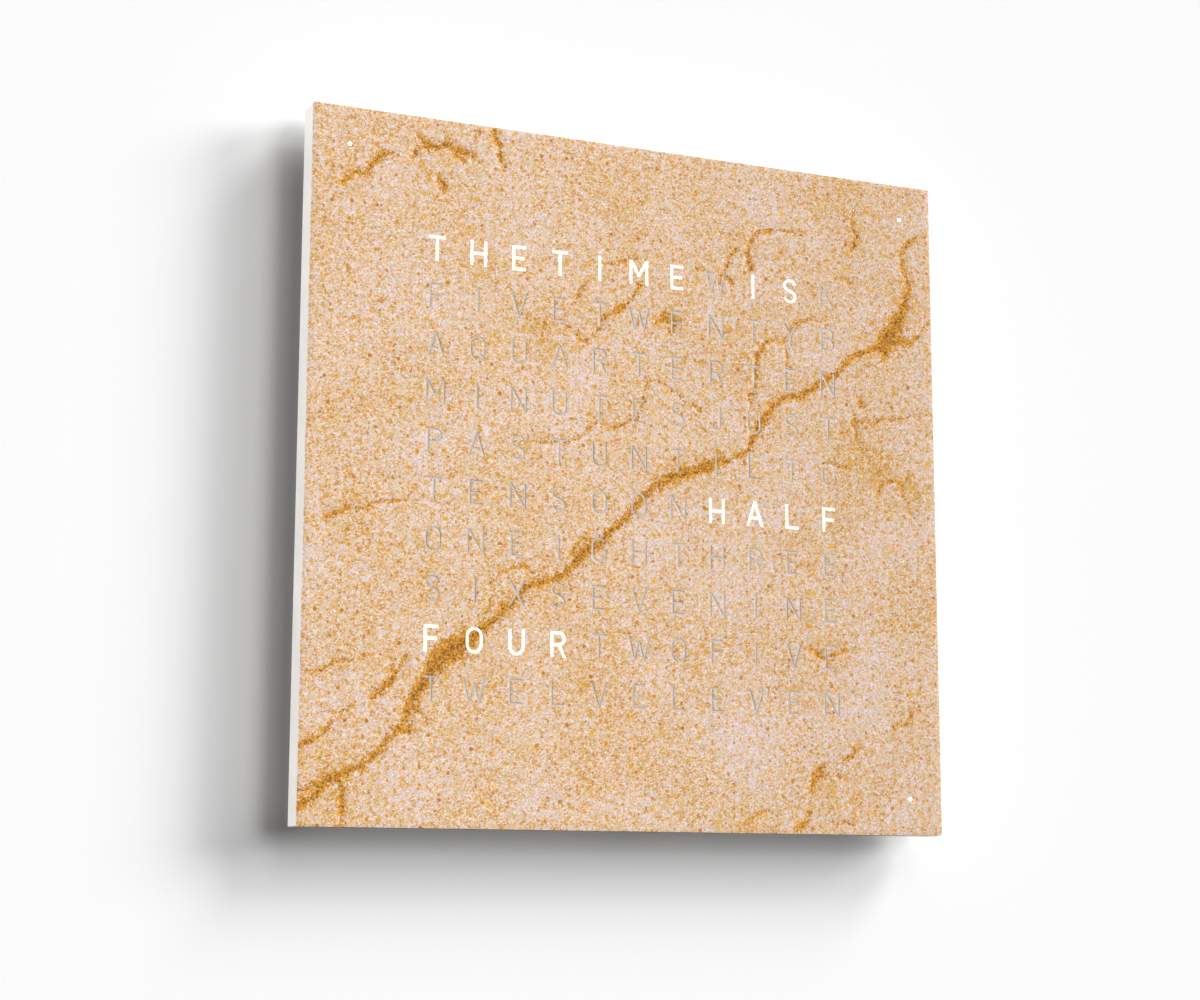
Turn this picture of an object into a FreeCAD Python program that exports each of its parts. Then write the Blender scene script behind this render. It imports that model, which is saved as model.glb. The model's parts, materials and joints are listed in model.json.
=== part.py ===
import FreeCAD, Part
import math
import os

os.makedirs("parts", exist_ok=True)

# A square wall clock that tells the time in lit words.
# Millimetres. X to the right, Y into the wall, Z up.
# The origin is the centre of the wall plane, so the clock lies at negative Y.

Vector = FreeCAD.Vector
TO_RIGHT = Vector(1, 0, 0)
TO_WALL = Vector(0, 1, 0)
TO_FRONT = Vector(0, -1, 0)

# ---------------------------------------------------------------- driving sizes

# Case
face_side = 450.0
case_depth = 18.0
wall_thickness = 4.0
corner_radius = 0.8
ledge_width = 14.0
ledge_thickness = 4.0

# Cover: stone skin on a steel plate, with the diffuser bonded behind it
stone_thickness = 1.0
plate_thickness = 1.2
diffuser_thickness = 0.5
dot_diameter = 3.3
dot_edge_distance = 24.3

# Letter field
columns = 11
rows = 10
field_side_margin = 69.46
field_end_margin = 69.75

# Rear panel
panel_thickness = 2.0
panel_recess = 1.5
corner_block_side = 10.0
panel_seat_length = 24.0
panel_seat_width = 5.0
panel_seat_spacing = 140.0

# Bar magnets in the ledge, and the angle tabs that locate the cover inside it
magnet_length = 20.0
magnet_width = 6.0
magnet_thickness = 3.0
magnet_spacing = 220.0
tab_leg = 14.0
tab_thickness = 1.2
tab_depth = 3.4

# Keyholes punched in the rear panel
keyhole_side_distance = 95.0
keyhole_top_distance = 43.0
keyhole_entry_diameter = 10.0
keyhole_slot_width = 5.0
keyhole_slot_length = 11.0

# Circuit boards
board_thickness = 1.6
standoff_height = 2.5
led_board_border = 7.5
led_size = 5.0
led_height = 1.2

# Light baffle
baffle_front_wall = 1.2
baffle_rear_wall = 3.0
baffle_rim = 1.6
baffle_peg_side = 2.4

# Corner light cups
corner_board_side = 20.0
cup_outer_side = 12.0
cup_rear_opening = 7.5
cup_front_opening = 9.5

# Fasteners
screw_diameter = 3.0
screw_head_diameter = 5.6
screw_head_height = 1.2
screw_grip = 4.5
pilot_depth = 6.0
standoff_flats = 5.5

# Power inlet and its pocket
pocket_width = 15.0
pocket_length = 40.0
pocket_wall = 1.2
pocket_flange = 4.0
jack_width = 9.0
jack_height = 10.0
jack_length = 13.0
jack_bore_diameter = 6.4
jack_bore_depth = 9.5
jack_pin_diameter = 2.1
jack_pin_length = 8.5
cord_notch_width = 5.0

# Controller board
controller_left = 30.0
controller_width = 100.0
controller_height = 38.0
controller_edge_distance = 17.0
processor_side = 10.0
chip_height = 1.5
driver_width = 7.5
driver_height = 10.0
cell_diameter = 20.0
cell_thickness = 3.2
cell_holder_side = 23.0
cell_holder_floor = 0.8
cell_holder_rim = 2.6

# Antenna
antenna_top_distance = 35.0
rod_diameter = 8.0
rod_length = 70.0
coil_diameter = 10.0
coil_length = 24.0
clip_width = 6.0
clip_arm = 2.0
clip_spacing = 46.0

# Push-buttons in the right-hand wall
button_length = 10.0
button_width = 5.0
button_proud = 0.8
button_edge_chamfer = 0.5
button_travel = 0.6
button_pitch = 18.0
first_button_height = -66.0
button_flange_margin = 1.0
button_flange_thickness = 0.8
plunger_side = 2.8
plunger_proud = 4.1
plunger_depth = 1.2
switch_side = 6.0
switch_height = 3.5
button_board_height = 7.4
button_board_thickness = 1.0
button_board_end = 8.0
post_side = 5.0
post_peg_side = 2.0
sensor_side = 3.0
sensor_height = 1.2
window_diameter = 3.0

# Leads and connectors
lead_width = 3.0
lead_thickness = 1.4
lead_bend = 3.0
connector_height = 3.0
connector_width = 6.0
connector_length = 4.0
link_width = 16.0
link_thickness = 0.8
link_rise = 1.0

# Clearances
running_clearance = 0.05
screw_clearance = 0.15
panel_clearance = 0.3
diffuser_clearance = 1.0
light_gap = 0.3
peg_clearance = 0.1
tab_clearance = 0.1
pocket_clearance = 0.3

# ---------------------------------------------------------------- derived planes

half_face = face_side / 2
inner_half = half_face - wall_thickness
ledge_half = half_face - ledge_width

y_front = -case_depth
y_plate_front = y_front + stone_thickness
y_frame_front = y_plate_front + plate_thickness
y_diffuser_back = y_frame_front + diffuser_thickness
y_ledge_back = y_frame_front + ledge_thickness
y_panel_back = -panel_recess
y_panel_front = y_panel_back - panel_thickness
y_board_back = y_panel_front - standoff_height
y_board_front = y_board_back - board_thickness
y_baffle_front = y_diffuser_back + light_gap
y_pocket_floor = y_baffle_front + pocket_wall
y_jack = y_pocket_floor + jack_height / 2
y_button = (y_panel_front + y_ledge_back) / 2

half_field_width = half_face - field_side_margin
half_field_height = half_face - field_end_margin
column_pitch = 2 * half_field_width / columns
row_pitch = 2 * half_field_height / rows
half_board_width = half_field_width + led_board_border
half_board_height = half_field_height + led_board_border

dot_offset = half_face - dot_edge_distance
magnet_offset = (half_face + ledge_half) / 2
block_offset = inner_half - corner_block_side / 2
panel_half = inner_half - panel_clearance
pilot_diameter = screw_diameter + 2 * running_clearance
screw_hole_diameter = screw_diameter + 2 * screw_clearance

# ---------------------------------------------------------------- helpers


def block(x_left, x_right, y_wallward, y_frontward, z_low, z_high):
    """A box between two planes on each axis; Y runs from the wall towards the front."""
    corner = Vector(x_left, y_frontward, z_low)
    return Part.makeBox(x_right - x_left, y_wallward - y_frontward, z_high - z_low, corner)


def centred_block(x, z, width, height, y_wallward, y_frontward):
    """A box centred on (x, z) between two planes of constant Y."""
    return block(x - width / 2, x + width / 2, y_wallward, y_frontward, z - height / 2, z + height / 2)


def block_along_x(x_left, x_right, y, z, depth, height):
    """A box centred on (y, z) between two planes of constant X."""
    return block(x_left, x_right, y + depth / 2, y - depth / 2, z - height / 2, z + height / 2)


def rod_to_front(x, z, diameter, y_wallward, y_frontward):
    """A cylinder along Y."""
    return Part.makeCylinder(diameter / 2, y_wallward - y_frontward, Vector(x, y_wallward, z), TO_FRONT)


def rod_to_right(x_start, x_end, y, z, diameter):
    """A cylinder along X."""
    return Part.makeCylinder(diameter / 2, x_end - x_start, Vector(x_start, y, z), TO_RIGHT)


def rectangle_wire(width, height, y):
    """A rectangle centred on the Y axis, at constant Y."""
    corners = [Vector(-width / 2, y, -height / 2), Vector(width / 2, y, -height / 2),
               Vector(width / 2, y, height / 2), Vector(-width / 2, y, height / 2)]
    return Part.makePolygon(corners + [corners[0]])


def funnel(rear_width, rear_height, front_width, front_height):
    """A drafted light passage centred on the Y axis, from the boards' front to the baffle's front."""
    rear_opening = rectangle_wire(rear_width, rear_height, y_board_front)
    front_opening = rectangle_wire(front_width, front_height, y_baffle_front)
    return Part.makeLoft([rear_opening, front_opening], True, True)


def edges_along(solid, direction):
    """The straight edges of a solid that run along a direction."""
    return [edge for edge in solid.Edges if abs(edge.tangentAt(edge.FirstParameter).dot(direction)) > 0.9]


def square_ring(outer_side, inner_side, y_wallward, y_frontward):
    """A square frame with rounded outer corners and a square opening."""
    outer = centred_block(0, 0, outer_side, outer_side, y_wallward, y_frontward)
    outer = outer.makeFillet(corner_radius, edges_along(outer, TO_WALL))
    return outer.cut(centred_block(0, 0, inner_side, inner_side, y_wallward, y_frontward))


def slot_face(x, z_low_centre, z_high_centre, width, y):
    """A round-ended upright slot as a face at constant Y."""
    radius = width / 2
    left_low = Vector(x - radius, y, z_low_centre)
    left_high = Vector(x - radius, y, z_high_centre)
    right_low = Vector(x + radius, y, z_low_centre)
    right_high = Vector(x + radius, y, z_high_centre)
    left = Part.LineSegment(left_low, left_high).toShape()
    top = Part.Arc(left_high, Vector(x, y, z_high_centre + radius), right_high).toShape()
    right = Part.LineSegment(right_high, right_low).toShape()
    bottom = Part.Arc(right_low, Vector(x, y, z_low_centre - radius), left_low).toShape()
    return Part.Face(Part.Wire([left, top, right, bottom]))


def hexagonal_post(x, z):
    """A hexagonal spacer between the rear panel and a board."""
    corner_distance = standoff_flats / math.sqrt(3)
    corners = []
    for index in range(6):
        angle = math.radians(60 * index)
        corners.append(Vector(x + corner_distance * math.cos(angle), y_panel_front,
                              z + corner_distance * math.sin(angle)))
    outline = Part.makePolygon(corners + [corners[0]])
    return Part.Face(outline).extrude(TO_FRONT * standoff_height)


def flat_lead(points):
    """A flat twin lead in a plane of constant Y: straight runs joined by tangent arcs."""
    edges = []
    run_start = points[0]
    for before, corner, after in zip(points, points[1:], points[2:]):
        into = (corner - before).normalize()
        out_of = (after - corner).normalize()
        half_turn = into.getAngle(out_of) / 2
        setback = lead_bend * math.tan(half_turn)
        arc_start = corner - into * setback
        arc_end = corner + out_of * setback
        inward = (out_of - into).normalize()
        apex = corner + inward * (lead_bend / math.cos(half_turn) - lead_bend)
        edges.append(Part.LineSegment(run_start, arc_start).toShape())
        edges.append(Part.Arc(arc_start, apex, arc_end).toShape())
        run_start = arc_end
    edges.append(Part.LineSegment(run_start, points[-1]).toShape())
    across = (points[1] - points[0]).normalize().cross(TO_WALL) * (lead_width / 2)
    upward = TO_WALL * (lead_thickness / 2)
    start = points[0]
    corners = [start + across + upward, start + across - upward, start - across - upward,
               start - across + upward]
    section = Part.makePolygon(corners + [corners[0]])
    return Part.Wire(edges).makePipeShell([section], True, False)


def four_corners(offset_x, offset_z):
    """The four mirror images of one point, as (x, z)."""
    return [(sign_x * offset_x, sign_z * offset_z) for sign_x in (-1, 1) for sign_z in (-1, 1)]


def along_four_sides(offset, spacing):
    """Two points per side of a square, spacing apart, at offset from its centre."""
    return four_corners(offset, spacing / 2) + four_corners(spacing / 2, offset)


def lying_along_side(x, z, length, width, y_wallward, y_frontward):
    """A bar centred on (x, z) that lies along the nearest side of the square case."""
    if abs(x) > abs(z):
        return centred_block(x, z, width, length, y_wallward, y_frontward)
    return centred_block(x, z, length, width, y_wallward, y_frontward)


def save(name, solids):
    """Write one node; several solids go out as one group."""
    shape = solids[0] if len(solids) == 1 else Part.makeCompound(solids)
    shape.exportStep("parts/" + name + ".step")


# ---------------------------------------------------------------- places along the right-hand wall

button_names = ["hours", "minutes", "mode"]
button_heights = [first_button_height - index * button_pitch for index in range(len(button_names))]
window_height = first_button_height + button_pitch
post_heights = [(window_height + button_heights[0]) / 2, (button_heights[1] + button_heights[2]) / 2]
x_flange = inner_half - button_flange_thickness
x_switch_top = x_flange - plunger_proud
x_board_outer = x_switch_top - switch_height
x_board_inner = x_board_outer - button_board_thickness
button_board_low = button_heights[-1] - button_board_end
button_board_high = window_height + button_board_end
button_board_middle = (button_board_low + button_board_high) / 2

# ---------------------------------------------------------------- case frame


def make_cord_notch():
    """A round-ended notch in the bottom wall, open to the rear, where the power lead leaves."""
    straight = centred_block(0, -half_face + wall_thickness / 2, cord_notch_width, wall_thickness, 0, y_jack)
    round_end = Part.makeCylinder(cord_notch_width / 2, wall_thickness, Vector(0, y_jack, -half_face))
    return straight.fuse(round_end)


def make_case_frame():
    """The cream frame: outer wall, front ledge, panel seats, magnet pockets and side openings."""
    wall_ring = square_ring(face_side, 2 * inner_half, 0, y_frame_front)
    ledge = square_ring(face_side, 2 * ledge_half, y_ledge_back, y_frame_front)

    added = [ledge]
    for x, z in four_corners(block_offset, block_offset):
        added.append(centred_block(x, z, corner_block_side, corner_block_side, y_panel_front, y_ledge_back))
    for x, z in along_four_sides(inner_half - panel_seat_width / 2, panel_seat_spacing):
        behind_buttons = x > ledge_half and button_board_low < z < button_board_high
        if not behind_buttons:
            added.append(lying_along_side(x, z, panel_seat_length, panel_seat_width,
                                          y_panel_front, y_ledge_back))
    for z in post_heights:
        added.append(block_along_x(x_board_outer, inner_half, y_button, z, post_side, post_side))
        added.append(block_along_x(x_board_inner, x_board_outer, y_button, z, post_peg_side, post_peg_side))
    frame = wall_ring.fuse(added)

    cuts = [make_cord_notch()]
    for x, z in four_corners(block_offset, block_offset):
        cuts.append(rod_to_front(x, z, pilot_diameter, y_panel_front, y_panel_front - pilot_depth))
    for x, z in along_four_sides(magnet_offset, magnet_spacing):
        cuts.append(lying_along_side(x, z, magnet_length + 2 * running_clearance,
                                     magnet_width + 2 * running_clearance,
                                     y_frame_front + magnet_thickness, y_frame_front))
    for z in button_heights:
        cuts.append(block_along_x(inner_half, half_face, y_button, z, button_width + 2 * running_clearance,
                                  button_length + 2 * running_clearance))
    cuts.append(rod_to_right(inner_half, half_face, y_button, window_height,
                             window_diameter + 2 * running_clearance))
    return frame.cut(cuts).removeSplitter()


save("case_frame", [make_case_frame()])

cover_magnets = []
for x, z in along_four_sides(magnet_offset, magnet_spacing):
    cover_magnets.append(lying_along_side(x, z, magnet_length, magnet_width,
                                          y_frame_front + magnet_thickness, y_frame_front))
save("cover_magnets", cover_magnets)

# ---------------------------------------------------------------- rear panel

keyhole_x = half_face - keyhole_side_distance
keyhole_height = half_face - keyhole_top_distance
pocket_low = -ledge_half + pocket_clearance
pocket_high = pocket_low + pocket_length


def make_rear_panel():
    """The flat rear panel, with screw holes, two keyholes and the mouth of the inlet pocket."""
    panel = centred_block(0, 0, 2 * panel_half, 2 * panel_half, y_panel_back, y_panel_front)
    cuts = []
    for x, z in four_corners(block_offset, block_offset):
        cuts.append(rod_to_front(x, z, screw_hole_diameter, y_panel_back, y_panel_front))
    for x in (-keyhole_x, keyhole_x):
        cuts.append(rod_to_front(x, keyhole_height, keyhole_entry_diameter, y_panel_back, y_panel_front))
        slot = slot_face(x, keyhole_height, keyhole_height + keyhole_slot_length,
                         keyhole_slot_width, y_panel_back)
        cuts.append(slot.extrude(TO_FRONT * panel_thickness))
    cuts.append(block(-pocket_width / 2, pocket_width / 2, y_panel_back, y_panel_front,
                      pocket_low, pocket_high - pocket_wall))
    cuts.append(block(-cord_notch_width / 2, cord_notch_width / 2, y_panel_back, y_panel_front,
                      -panel_half, pocket_low))
    return panel.cut(cuts)


def make_panel_screw(x, z):
    """A pan-head screw through the rear panel into a corner block of the frame."""
    head = rod_to_front(x, z, screw_head_diameter, y_panel_back + screw_head_height, y_panel_back)
    shank = rod_to_front(x, z, screw_diameter, y_panel_back, y_panel_front - screw_grip)
    return head.fuse(shank).removeSplitter()


save("rear_panel", [make_rear_panel()])
save("rear_panel_screws", [make_panel_screw(x, z) for x, z in four_corners(block_offset, block_offset)])

# ---------------------------------------------------------------- power inlet

jack_high = pocket_high - pocket_wall
jack_low = jack_high - jack_length
lead_slot_width = lead_width + 2 * running_clearance
lead_slot_depth = lead_thickness + 2 * running_clearance


def make_inlet_housing():
    """The moulded pocket behind the panel, open to the rear and towards the bottom wall."""
    outer_width = pocket_width + 2 * pocket_wall
    flange_width = outer_width + 2 * pocket_flange
    shell = block(-outer_width / 2, outer_width / 2, y_panel_front, y_baffle_front, pocket_low, pocket_high)
    flange = block(-flange_width / 2, flange_width / 2, y_panel_front, y_panel_front - pocket_wall,
                   pocket_low, pocket_high + pocket_flange)
    hollow = block(-pocket_width / 2, pocket_width / 2, y_panel_front, y_pocket_floor, pocket_low, jack_high)
    lead_slot = block(-lead_slot_width / 2, lead_slot_width / 2, y_jack + lead_slot_depth / 2,
                      y_jack - lead_slot_depth / 2, jack_high, pocket_high)
    return shell.fuse(flange).cut([hollow, lead_slot]).removeSplitter()


def make_power_inlet():
    """The DC jack: a block with a round mouth that faces down the pocket."""
    body = block(-jack_width / 2, jack_width / 2, y_pocket_floor + jack_height, y_pocket_floor,
                 jack_low, jack_high)
    body = body.makeChamfer(corner_radius, edges_along(body, Vector(0, 0, 1)))
    return body.cut(Part.makeCylinder(jack_bore_diameter / 2, jack_bore_depth, Vector(0, y_jack, jack_low)))


save("inlet_housing", [make_inlet_housing()])
save("power_inlet", [make_power_inlet()])
pin_tip = Vector(0, y_jack, jack_low + jack_bore_depth - jack_pin_length)
save("inlet_pin", [Part.makeCylinder(jack_pin_diameter / 2, jack_pin_length, pin_tip)])

# ---------------------------------------------------------------- LED board and baffle

peg_places = four_corners(3.5 * column_pitch, 3 * row_pitch)


def letter_cell_centres():
    """The centre of every letter cell, row by row from the top left."""
    centres = []
    for row in range(rows):
        for column in range(columns):
            x = (column - (columns - 1) / 2) * column_pitch
            z = ((rows - 1) / 2 - row) * row_pitch
            centres.append((x, z))
    return centres


def make_led_board():
    """The square LED board, with holes for the baffle's pegs."""
    board = centred_block(0, 0, 2 * half_board_width, 2 * half_board_height, y_board_back, y_board_front)
    hole_side = baffle_peg_side + 2 * peg_clearance
    return board.cut([centred_block(x, z, hole_side, hole_side, y_board_back, y_board_front)
                      for x, z in peg_places])


def make_light_baffle():
    """The moulded grid: one drafted funnel per letter, narrow at the LED and wide at the diffuser."""
    cell = funnel(column_pitch - baffle_rear_wall, row_pitch - baffle_rear_wall,
                  column_pitch - baffle_front_wall, row_pitch - baffle_front_wall)
    cells = [cell.translated(Vector(x, 0, z)) for x, z in letter_cell_centres()]
    grid = centred_block(0, 0, 2 * (half_field_width + baffle_rim), 2 * (half_field_height + baffle_rim),
                         y_board_front, y_baffle_front)
    grid = grid.cut(Part.makeCompound(cells))
    return grid.fuse([centred_block(x, z, baffle_peg_side, baffle_peg_side, y_panel_front, y_board_front)
                      for x, z in peg_places])


def make_led(x, z):
    """A square surface-mounted LED on the front of a board."""
    return centred_block(x, z, led_size, led_size, y_board_front, y_board_front - led_height)


save("led_board", [make_led_board()])
save("light_baffle", [make_light_baffle()])
save("letter_leds", [make_led(x, z) for x, z in letter_cell_centres()])

# ---------------------------------------------------------------- corner lights

dot_places = four_corners(dot_offset, dot_offset)


def make_corner_cup(x, z):
    """A square light cup whose opening widens towards the minute dot."""
    cup = centred_block(0, 0, cup_outer_side, cup_outer_side, y_board_front, y_baffle_front)
    passage = funnel(cup_rear_opening, cup_rear_opening, cup_front_opening, cup_front_opening)
    return cup.cut(passage).translated(Vector(x, 0, z))


save("corner_boards", [centred_block(x, z, corner_board_side, corner_board_side, y_board_back, y_board_front)
                       for x, z in dot_places])
save("corner_leds", [make_led(x, z) for x, z in dot_places])
save("corner_cups", [make_corner_cup(x, z) for x, z in dot_places])

# ---------------------------------------------------------------- controller board

controller_right = controller_left + controller_width
controller_low = -half_face + controller_edge_distance
controller_high = controller_low + controller_height
controller_middle_x = (controller_left + controller_right) / 2
controller_middle_z = (controller_low + controller_high) / 2
y_cell_floor = y_board_front - cell_holder_floor
chip_gap = driver_width / 4
processor_x = controller_left + processor_side + connector_width
driver_left_x = processor_x + processor_side / 2 + driver_width / 2 + chip_gap
driver_places = []
for column_step in (0, 1):
    for row_step in (-1, 1):
        driver_places.append((driver_left_x + column_step * (driver_width + chip_gap),
                              controller_middle_z - connector_length / 2
                              + row_step * (driver_height + chip_gap) / 2))
cell_x = controller_right - connector_width - cell_holder_side / 2


def make_cell_holder():
    """A square tray with a round seat for the coin cell."""
    y_rim = y_cell_floor - cell_holder_rim
    tray = centred_block(cell_x, controller_middle_z, cell_holder_side, cell_holder_side,
                         y_board_front, y_rim)
    return tray.cut(rod_to_front(cell_x, controller_middle_z, cell_diameter + 2 * running_clearance,
                                 y_cell_floor, y_rim))


save("controller_board", [block(controller_left, controller_right, y_board_back, y_board_front,
                                controller_low, controller_high)])
save("processor_chip", [centred_block(processor_x, controller_middle_z, processor_side, processor_side,
                                      y_board_front, y_board_front - chip_height)])
save("driver_chips", [centred_block(x, z, driver_width, driver_height, y_board_front,
                                    y_board_front - chip_height) for x, z in driver_places])
save("cell_holder", [make_cell_holder()])
save("coin_cell", [rod_to_front(cell_x, controller_middle_z, cell_diameter, y_cell_floor,
                                y_cell_floor - cell_thickness)])

# ---------------------------------------------------------------- spacers between panel and boards

spacer_inset = 2.5 * standoff_flats
controller_inset_x = controller_width / 2 - standoff_flats
controller_inset_z = controller_height / 2 - standoff_flats
spacer_places = four_corners(half_board_width - spacer_inset, half_board_height - spacer_inset)
spacer_places += four_corners(2 * column_pitch, half_board_height - standoff_flats)
spacer_places += four_corners(half_board_width - standoff_flats, 2 * row_pitch)
spacer_places += four_corners(1.5 * column_pitch, 1.5 * row_pitch)
spacer_places += dot_places
for x, z in four_corners(controller_inset_x, controller_inset_z):
    spacer_places.append((controller_middle_x + x, controller_middle_z + z))
save("board_standoffs", [hexagonal_post(x, z) for x, z in spacer_places])

# ---------------------------------------------------------------- antenna

y_antenna = (y_panel_front + y_baffle_front) / 2
antenna_height = half_face - antenna_top_distance
seat_diameter = rod_diameter + 2 * running_clearance


def make_antenna_clip(x):
    """A saddle that stands on the panel and snaps round the rod."""
    y_open_end = y_antenna - rod_diameter / 4
    clip = centred_block(x, antenna_height, clip_width, rod_diameter + 2 * clip_arm,
                         y_panel_front, y_open_end)
    return clip.cut(rod_to_right(x - clip_width / 2, x + clip_width / 2, y_antenna, antenna_height,
                                 seat_diameter))


def make_antenna_coil():
    """The winding, as one sleeve round the middle of the rod."""
    sleeve = rod_to_right(-coil_length / 2, coil_length / 2, y_antenna, antenna_height, coil_diameter)
    bore = rod_to_right(-coil_length / 2, coil_length / 2, y_antenna, antenna_height, seat_diameter)
    return sleeve.cut(bore)


save("antenna_rod", [rod_to_right(-rod_length / 2, rod_length / 2, y_antenna, antenna_height, rod_diameter)])
save("antenna_coil", [make_antenna_coil()])
save("antenna_clips", [make_antenna_clip(-clip_spacing / 2), make_antenna_clip(clip_spacing / 2)])

# ---------------------------------------------------------------- push-buttons and light sensor


def make_button_cap(z):
    """A bar-shaped cap: chamfered guide through the wall, retaining flange inside it."""
    guide = block_along_x(inner_half, half_face + button_proud, y_button, z, button_width, button_length)
    outer_face = max(guide.Faces, key=lambda face: face.CenterOfMass.x)
    guide = guide.makeChamfer(button_edge_chamfer, outer_face.Edges)
    flange = block_along_x(x_flange, inner_half, y_button, z, button_width + 2 * button_flange_margin,
                           button_length + 2 * button_flange_margin)
    return guide.fuse(flange)


def make_switch_housing(z):
    """A square switch housing with the bore that its plunger slides in."""
    housing = block_along_x(x_board_outer, x_switch_top, y_button, z, switch_side, switch_side)
    bore_depth = plunger_depth + button_travel + light_gap
    bore_side = plunger_side + 2 * running_clearance
    bore = block_along_x(x_switch_top - bore_depth, x_switch_top, y_button, z, bore_side, bore_side)
    return housing.cut(bore)


def make_button_board():
    """The narrow board on edge behind the right-hand wall, staked on two pegs of the frame."""
    board = block_along_x(x_board_inner, x_board_outer, y_button, button_board_middle, button_board_height,
                          button_board_high - button_board_low)
    hole_side = post_peg_side + 2 * peg_clearance
    return board.cut([block_along_x(x_board_inner, x_board_outer, y_button, z, hole_side, hole_side)
                      for z in post_heights])


for name, z in zip(button_names, button_heights):
    save("button_cap_" + name, [make_button_cap(z)])
    save("switch_plunger_" + name, [block_along_x(x_switch_top - plunger_depth, x_flange, y_button, z,
                                                  plunger_side, plunger_side)])
save("switch_housings", [make_switch_housing(z) for z in button_heights])
save("button_board", [make_button_board()])
save("light_sensor", [block_along_x(x_board_outer, x_board_outer + sensor_height, y_button, window_height,
                                    sensor_side, sensor_side)])
save("sensor_window", [rod_to_right(x_board_outer + sensor_height + light_gap, half_face, y_button,
                                    window_height, window_diameter)])

# ---------------------------------------------------------------- leads and connectors

inlet_connector_x = controller_left + 1.5 * connector_width
controller_connector_z = controller_high - connector_length / 2
led_connector_z = -half_board_height + connector_length / 2
button_connector_z = button_board_low + connector_width / 2
x_button_connector = x_board_inner - connector_height
y_connector_front = y_board_front - connector_height
y_connector = (y_board_front + y_connector_front) / 2


def flat_connector(x, z, width, height):
    """A connector that stands on the front of a board."""
    return centred_block(x, z, width, height, y_board_front, y_connector_front)


def make_board_link():
    """The flat cable between the controller and the LED board, arched a little."""
    z_middle = (controller_high - half_board_height) / 2
    x_left = controller_middle_x - link_width / 2
    ends = []
    for side in (0.5, -0.5):
        y = y_connector + side * link_thickness
        ends.append((Vector(x_left, y, controller_high), Vector(x_left, y - link_rise, z_middle),
                     Vector(x_left, y, -half_board_height)))
    (near_start, near_top, near_end), (far_start, far_top, far_end) = ends
    edges = [Part.Arc(near_start, near_top, near_end).toShape(),
             Part.LineSegment(near_end, far_end).toShape(),
             Part.Arc(far_end, far_top, far_start).toShape(),
             Part.LineSegment(far_start, near_start).toShape()]
    return Part.Face(Part.Wire(edges)).extrude(TO_RIGHT * link_width)


save("board_connectors", [
    flat_connector(inlet_connector_x, controller_connector_z, connector_width, connector_length),
    flat_connector(controller_middle_x, controller_connector_z, link_width, connector_length),
    flat_connector(controller_middle_x, led_connector_z, link_width, connector_length),
    flat_connector(controller_right - connector_length / 2, controller_middle_z, connector_length,
                   connector_width),
    block_along_x(x_button_connector, x_board_inner, y_button, button_connector_z, connector_length,
                  connector_width),
])
save("board_link", [make_board_link()])

inlet_run_z = (pocket_high - half_board_height) / 2
save("inlet_lead", [flat_lead([
    Vector(0, y_jack, jack_high),
    Vector(0, y_jack, inlet_run_z),
    Vector(inlet_connector_x, y_jack, inlet_run_z),
    Vector(inlet_connector_x, y_jack, controller_high),
])])

button_lead_x = x_button_connector - 2 * lead_bend
save("button_lead", [flat_lead([
    Vector(controller_right, y_button - lead_thickness / 2, controller_middle_z),
    Vector(button_lead_x, y_button - lead_thickness / 2, controller_middle_z),
    Vector(button_lead_x, y_button - lead_thickness / 2, button_connector_z),
    Vector(x_button_connector, y_button - lead_thickness / 2, button_connector_z),
])])

corner_lead_y = y_board_back + lead_thickness / 2
corner_lead_x = half_board_width - lead_bend
corner_leads = []
for side, z in four_corners(1, 1):
    corner_leads.append(flat_lead([
        Vector(side * (dot_offset - standoff_flats), corner_lead_y, z * dot_offset),
        Vector(side * corner_lead_x, corner_lead_y, z * dot_offset),
        Vector(side * corner_lead_x, corner_lead_y, z * (half_board_height - 2 * standoff_flats)),
    ]))
save("corner_leads", corner_leads)

# ---------------------------------------------------------------- cover


def make_dotted_sheet(y_wallward, y_frontward):
    """A full-face sheet with one round light hole near each corner."""
    sheet = centred_block(0, 0, face_side, face_side, y_wallward, y_frontward)
    return sheet.cut([rod_to_front(x, z, dot_diameter, y_wallward, y_frontward) for x, z in dot_places])


def make_locating_tab(sign_x, sign_z):
    """An angle bracket behind a corner of the plate, which drops inside the ledge of the frame."""
    outer = ledge_half - tab_clearance
    inner = outer - tab_thickness
    start = outer - tab_leg
    corners = [(start, outer), (outer, outer), (outer, start), (inner, start), (inner, inner), (start, inner)]
    points = [Vector(sign_x * x, y_frame_front, sign_z * z) for x, z in corners]
    return Part.Face(Part.makePolygon(points + [points[0]])).extrude(TO_WALL * tab_depth)


save("stone_veneer", [make_dotted_sheet(y_plate_front, y_front)])
save("cover_plate", [make_dotted_sheet(y_frame_front, y_plate_front)])
diffuser_side = 2 * (ledge_half - tab_clearance - tab_thickness - diffuser_clearance)
save("diffuser_sheet", [centred_block(0, 0, diffuser_side, diffuser_side, y_diffuser_back, y_frame_front)])
save("locating_tabs", [make_locating_tab(sign_x, sign_z) for sign_x, sign_z in four_corners(1, 1)])
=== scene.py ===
import json
import math
import random

import bpy
import numpy as np
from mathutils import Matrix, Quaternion, Vector, geometry, noise


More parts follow.
